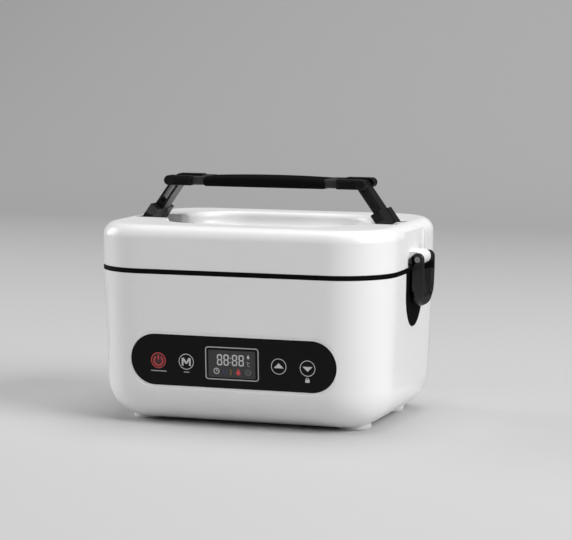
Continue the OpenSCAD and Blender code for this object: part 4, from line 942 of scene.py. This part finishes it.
section = box2d(grip["coreWidth"], grip["coreThick"], grip["neckEdge"], 4)
coreEnds = (-grip["neckEnd"] + 0.02, -grip["neckStart"], grip["neckStart"], grip["neckEnd"] - 0.02)
core = loft("gripCore", [[(x, y, gripZ + z) for y, z in section] for x in coreEnds])
for side in (1, -1):
    z0 = gripZ + side * 2.4
    z1 = gripZ + side * 9
    low, high = sorted((z0, z1))
    combine(core, block("thin", (-grip["neckStart"] + 0.4, -20, low), (grip["neckStart"] - 0.4, 20, high)))
for sx in (-1, 1):
    low, high = sorted((sx * forkIn, sx * (grip["neckEnd"] + 20)))
    combine(core, block("fork", (low, -grip["cheekIn"], gripZ - 9), (high, grip["cheekIn"], gripZ + 9)))
    for sy in (-1, 1):
        low, high = sorted((sx * (grip["neckEnd"] - 1), sx * (cheekEnd - 5)))
        near, far = sorted((sy * 13.0, sy * 14.5))
        combine(core, block("tenon", (low, near, gripZ - 2), (high, far, gripZ + 2)), "UNION")
    low, high = sorted((sx * (pinDownX - gripPinR - 0.3), sx * (gripPin.x + gripPinR + 0.3)))
    combine(core, block("groove", (low, -(gripHalf - 4.8), gripZ - reach), (high, gripHalf - 4.8,
                                                                            gripZ + reach)))
finish(core, "grip", ["grip_core"], neckGrey)

cheeks = []
slotShape = {"start": 1.4, "length": 16.0, "height": 6.0, "depth": 0.8}
for sx in (1, -1):
    for sy in (1, -1):
        rows = []
        neck = grip["neckEnd"]
        outline = [(neck + 0.05, -cheekHalf + 0.9)] + arc(neck + 0.95, -cheekHalf + 0.9, 0.9, 180, 270, 4)
        outline += arc(cheekEnd - cheekHalf, 0, cheekHalf, -90, 90, 24)
        outline += arc(neck + 0.95, cheekHalf - 0.9, 0.9, 90, 180, 4)
        outline = [p for i, p in enumerate(outline) if math.dist(p, outline[i - 1]) > 1e-4]
        cheek = plate("cheek", outline, grip["cheekIn"], gripHalf, 0.8, 0.4, 4)
        slotX = grip["neckEnd"] + slotShape["start"] + slotShape["length"] / 2
        for less, deeper in ((1.4, 0), (4.4, 0.7)):
            face = gripHalf - deeper
            recess = box2d(slotShape["length"] - less, slotShape["height"] - less, 0.3, 4, slotX, 0)
            combine(cheek, flared("slot", recess, face - slotShape["depth"], face, 0.7))
        groove = block("groove", (grip["neckEnd"] - 2, -reach, 0), (gripPin.x + gripPinR + 0.3, reach,
                                                                    gripHalf - 4.8))
        combine(cheek, groove)
        turned = Matrix(((sx, 0, 0, 0), (0, 0, sy, 0), (0, 1, 0, gripZ * mm), (0, 0, 0, 1)))
        cheeks.append(move(cheek, turned))
finish(joinAll("gripCheeks", cheeks), "grip", ["grip_cheeks"], handleBlack)

length = grip["neckStart"]
rows = []
stations = [(-length, 1.1), (-length + 0.25, 0.6), (-length + 0.8, 0.2), (-length + 1.6, 0.0)]
stations += [(-length + 1.6 + (2 * length - 3.2) * i / 20, 0.0) for i in range(1, 20)]
stations += [(-x, cut) for x, cut in reversed(stations[:4])]
for x, cut in stations:
    drop = grip["sleeveDrop"] * (x / length) ** 2
    high = grip["sleeveThick"] - drop - 2 * cut * 0.55
    width = 2 * gripHalf - 2 * cut - 0.4 * (x / length) ** 2
    r = min(grip["sleeveRound"], high / 2 - 0.05)
    rows.append([(x, y, gripZ + z - drop / 2) for y, z in box2d(width, high, r, 8)])
sleeve = loft("gripSleeve", rows)
finish(sleeve, "grip", ["grip_sleeve"], sleeveSoft, 50)
print("handle made")

# Pieces that keep their CAD mesh

kept = {
    "base_cover": white, "base_screws": screwSteel, "heating_pot": potMetal, "heater_plate": heaterAlloy,
    "heater_clamp": clampSteel, "heater_nuts": screwSteel, "thermostat": plasticBlack,
    "thermal_fuse": fuseCase,
    "temperature_sensor": clampSteel, "panel_holder": holderWhite, "panel_screws": screwSteel,
    "display_module": lcdGlass, "display_board": boardGreen, "touch_springs": springSteel,
    "power_board": boardGreen,
    "board_parts": partBlack, "board_screws": screwSteel, "inlet_socket": plasticBlack,
    "inlet_pins": pinBrass,
    "inlet_screws": screwSteel, "mains_leads": leadBrown, "heater_leads": leadCover, "display_lead": leadGrey,
    "lid_liner": linerWhite, "lid_seal": silicone, "lid_screws": screwSteel, "steam_vent": silicone,
    "latch_pins": pinSteel, "arm_pins": pinSteel, "grip_pin_left": pinSteel, "grip_pin_right": pinSteel,
    "grip_screws": screwSteel, "food_tray": traySteel, "tray_lid": coverClear, "tray_seal": siliconeBlue,
}
for name, material in kept.items():
    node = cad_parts[name]
    node.data.materials.clear()
    node.data.materials.append(material)
    node.data.polygons.foreach_set("use_smooth", [True] * len(node.data.polygons))
    node.data.set_sharp_from_angle(angle=math.radians(30))
print("CAD pieces finished")

# Floor, light and camera

studio = {
    "floor": 0.55,         # how pale the floor and backdrop look
    "bounce": 0.60,        # how pale the floor in front is for the light that it throws back
    "backBounce": 0.12,    # and the floor behind and the backdrop
    "split": 0.11,         # where the one gives way to the other, in metres along Y
    "world": 0.03,
}
# Soft lamps: place, size and power
lamps = {
    "key": ((2.2, -0.6, 1.6), (1.6, 1.6), 66),
    "top": ((0.2, 0.3, 2.4), (1.8, 1.8), 36),
    "leftFront": ((-2.0, -1.6, 1.0), (1.6, 1.6), 13),
    "leftBack": ((-2.4, 0.3, 0.9), (1.4, 1.4), 32),
}


def studioFloor():
    size, back, rise = 6.0, 2.6, 3.5
    bend = [math.pi / 2 * i / 12 for i in range(1, 13)]
    outline = [(-3.4, 0.0), (studio["split"], 0.0), (back - 1.0, 0.0)]
    outline += [(back - 1.0 + math.sin(a), 1.0 - math.cos(a)) for a in bend] + [(back, rise)]
    points = [(x * 1000, y * 1000, z * 1000) for y, z in outline for x in (-size, size)]
    faces = [(2 * i, 2 * i + 1, 2 * i + 3, 2 * i + 2) for i in range(len(outline) - 1)]
    mesh = bpy.data.meshes.new("floor")
    mesh.from_pydata([Vector(p) * mm for p in points], [], faces)
    floor = bpy.data.objects.new("floor", mesh)
    bpy.context.scene.collection.objects.link(floor)
    mesh.polygons.foreach_set("use_smooth", [True] * len(mesh.polygons))
    for name, bounce in (("floorPaper", studio["bounce"]), ("backPaper", studio["backBounce"])):
        paper = moulded(name, (studio["floor"],) * 3, 0.8, 0.02, 60, 0.004, 0.1)
        nodes, links = paper.node_tree.nodes, paper.node_tree.links
        shown, thrown = nodes["Principled BSDF"], nodes.new("ShaderNodeBsdfDiffuse")
        mix = nodes.new("ShaderNodeMixShader")
        thrown.inputs["Color"].default_value = (bounce, bounce, bounce, 1)
        links.new(nodes.new("ShaderNodeLightPath").outputs["Is Camera Ray"], mix.inputs["Fac"])
        links.new(thrown.outputs["BSDF"], mix.inputs[1])
        links.new(shown.outputs["BSDF"], mix.inputs[2])
        links.new(mix.outputs["Shader"], nodes["Material Output"].inputs["Surface"])
        mesh.materials.append(paper)
    for face in mesh.polygons[1:]:
        face.material_index = 1


studioFloor()
for name, (place, size, power) in lamps.items():
    light = bpy.data.lights.new(name, "AREA")
    light.shape = "RECTANGLE"
    light.size, light.size_y = size
    light.energy = power
    lamp = bpy.data.objects.new(name, light)
    lamp.location = place
    lamp.rotation_euler = (Vector((0, 0, 0.1)) - Vector(place)).to_track_quat("-Z", "Y").to_euler()
    bpy.context.scene.collection.objects.link(lamp)

world = bpy.data.worlds.new("studio")
world.use_nodes = True
world.node_tree.nodes["Background"].inputs["Color"].default_value = (1, 1, 1, 1)
world.node_tree.nodes["Background"].inputs["Strength"].default_value = studio["world"]
bpy.context.scene.world = world
bpy.context.scene.view_settings.view_transform = "Standard"

# The camera's place and target in metres, and its lens in millimetres
viewpoint = {"place": (0.63170, -1.76862, 0.32342), "target": (0.01344, 0, 0.11485), "lens": 149.6}
cameraData = bpy.data.cameras.new("camera")
cameraData.sensor_width = 36
cameraData.lens = viewpoint["lens"]
cameraData.clip_end = 50
camera = bpy.data.objects.new("camera", cameraData)
camera.location = viewpoint["place"]
camera.rotation_euler = (Vector(viewpoint["target"]) - camera.location).to_track_quat("-Z", "Y").to_euler()
bpy.context.scene.collection.objects.link(camera)
bpy.context.scene.camera = camera
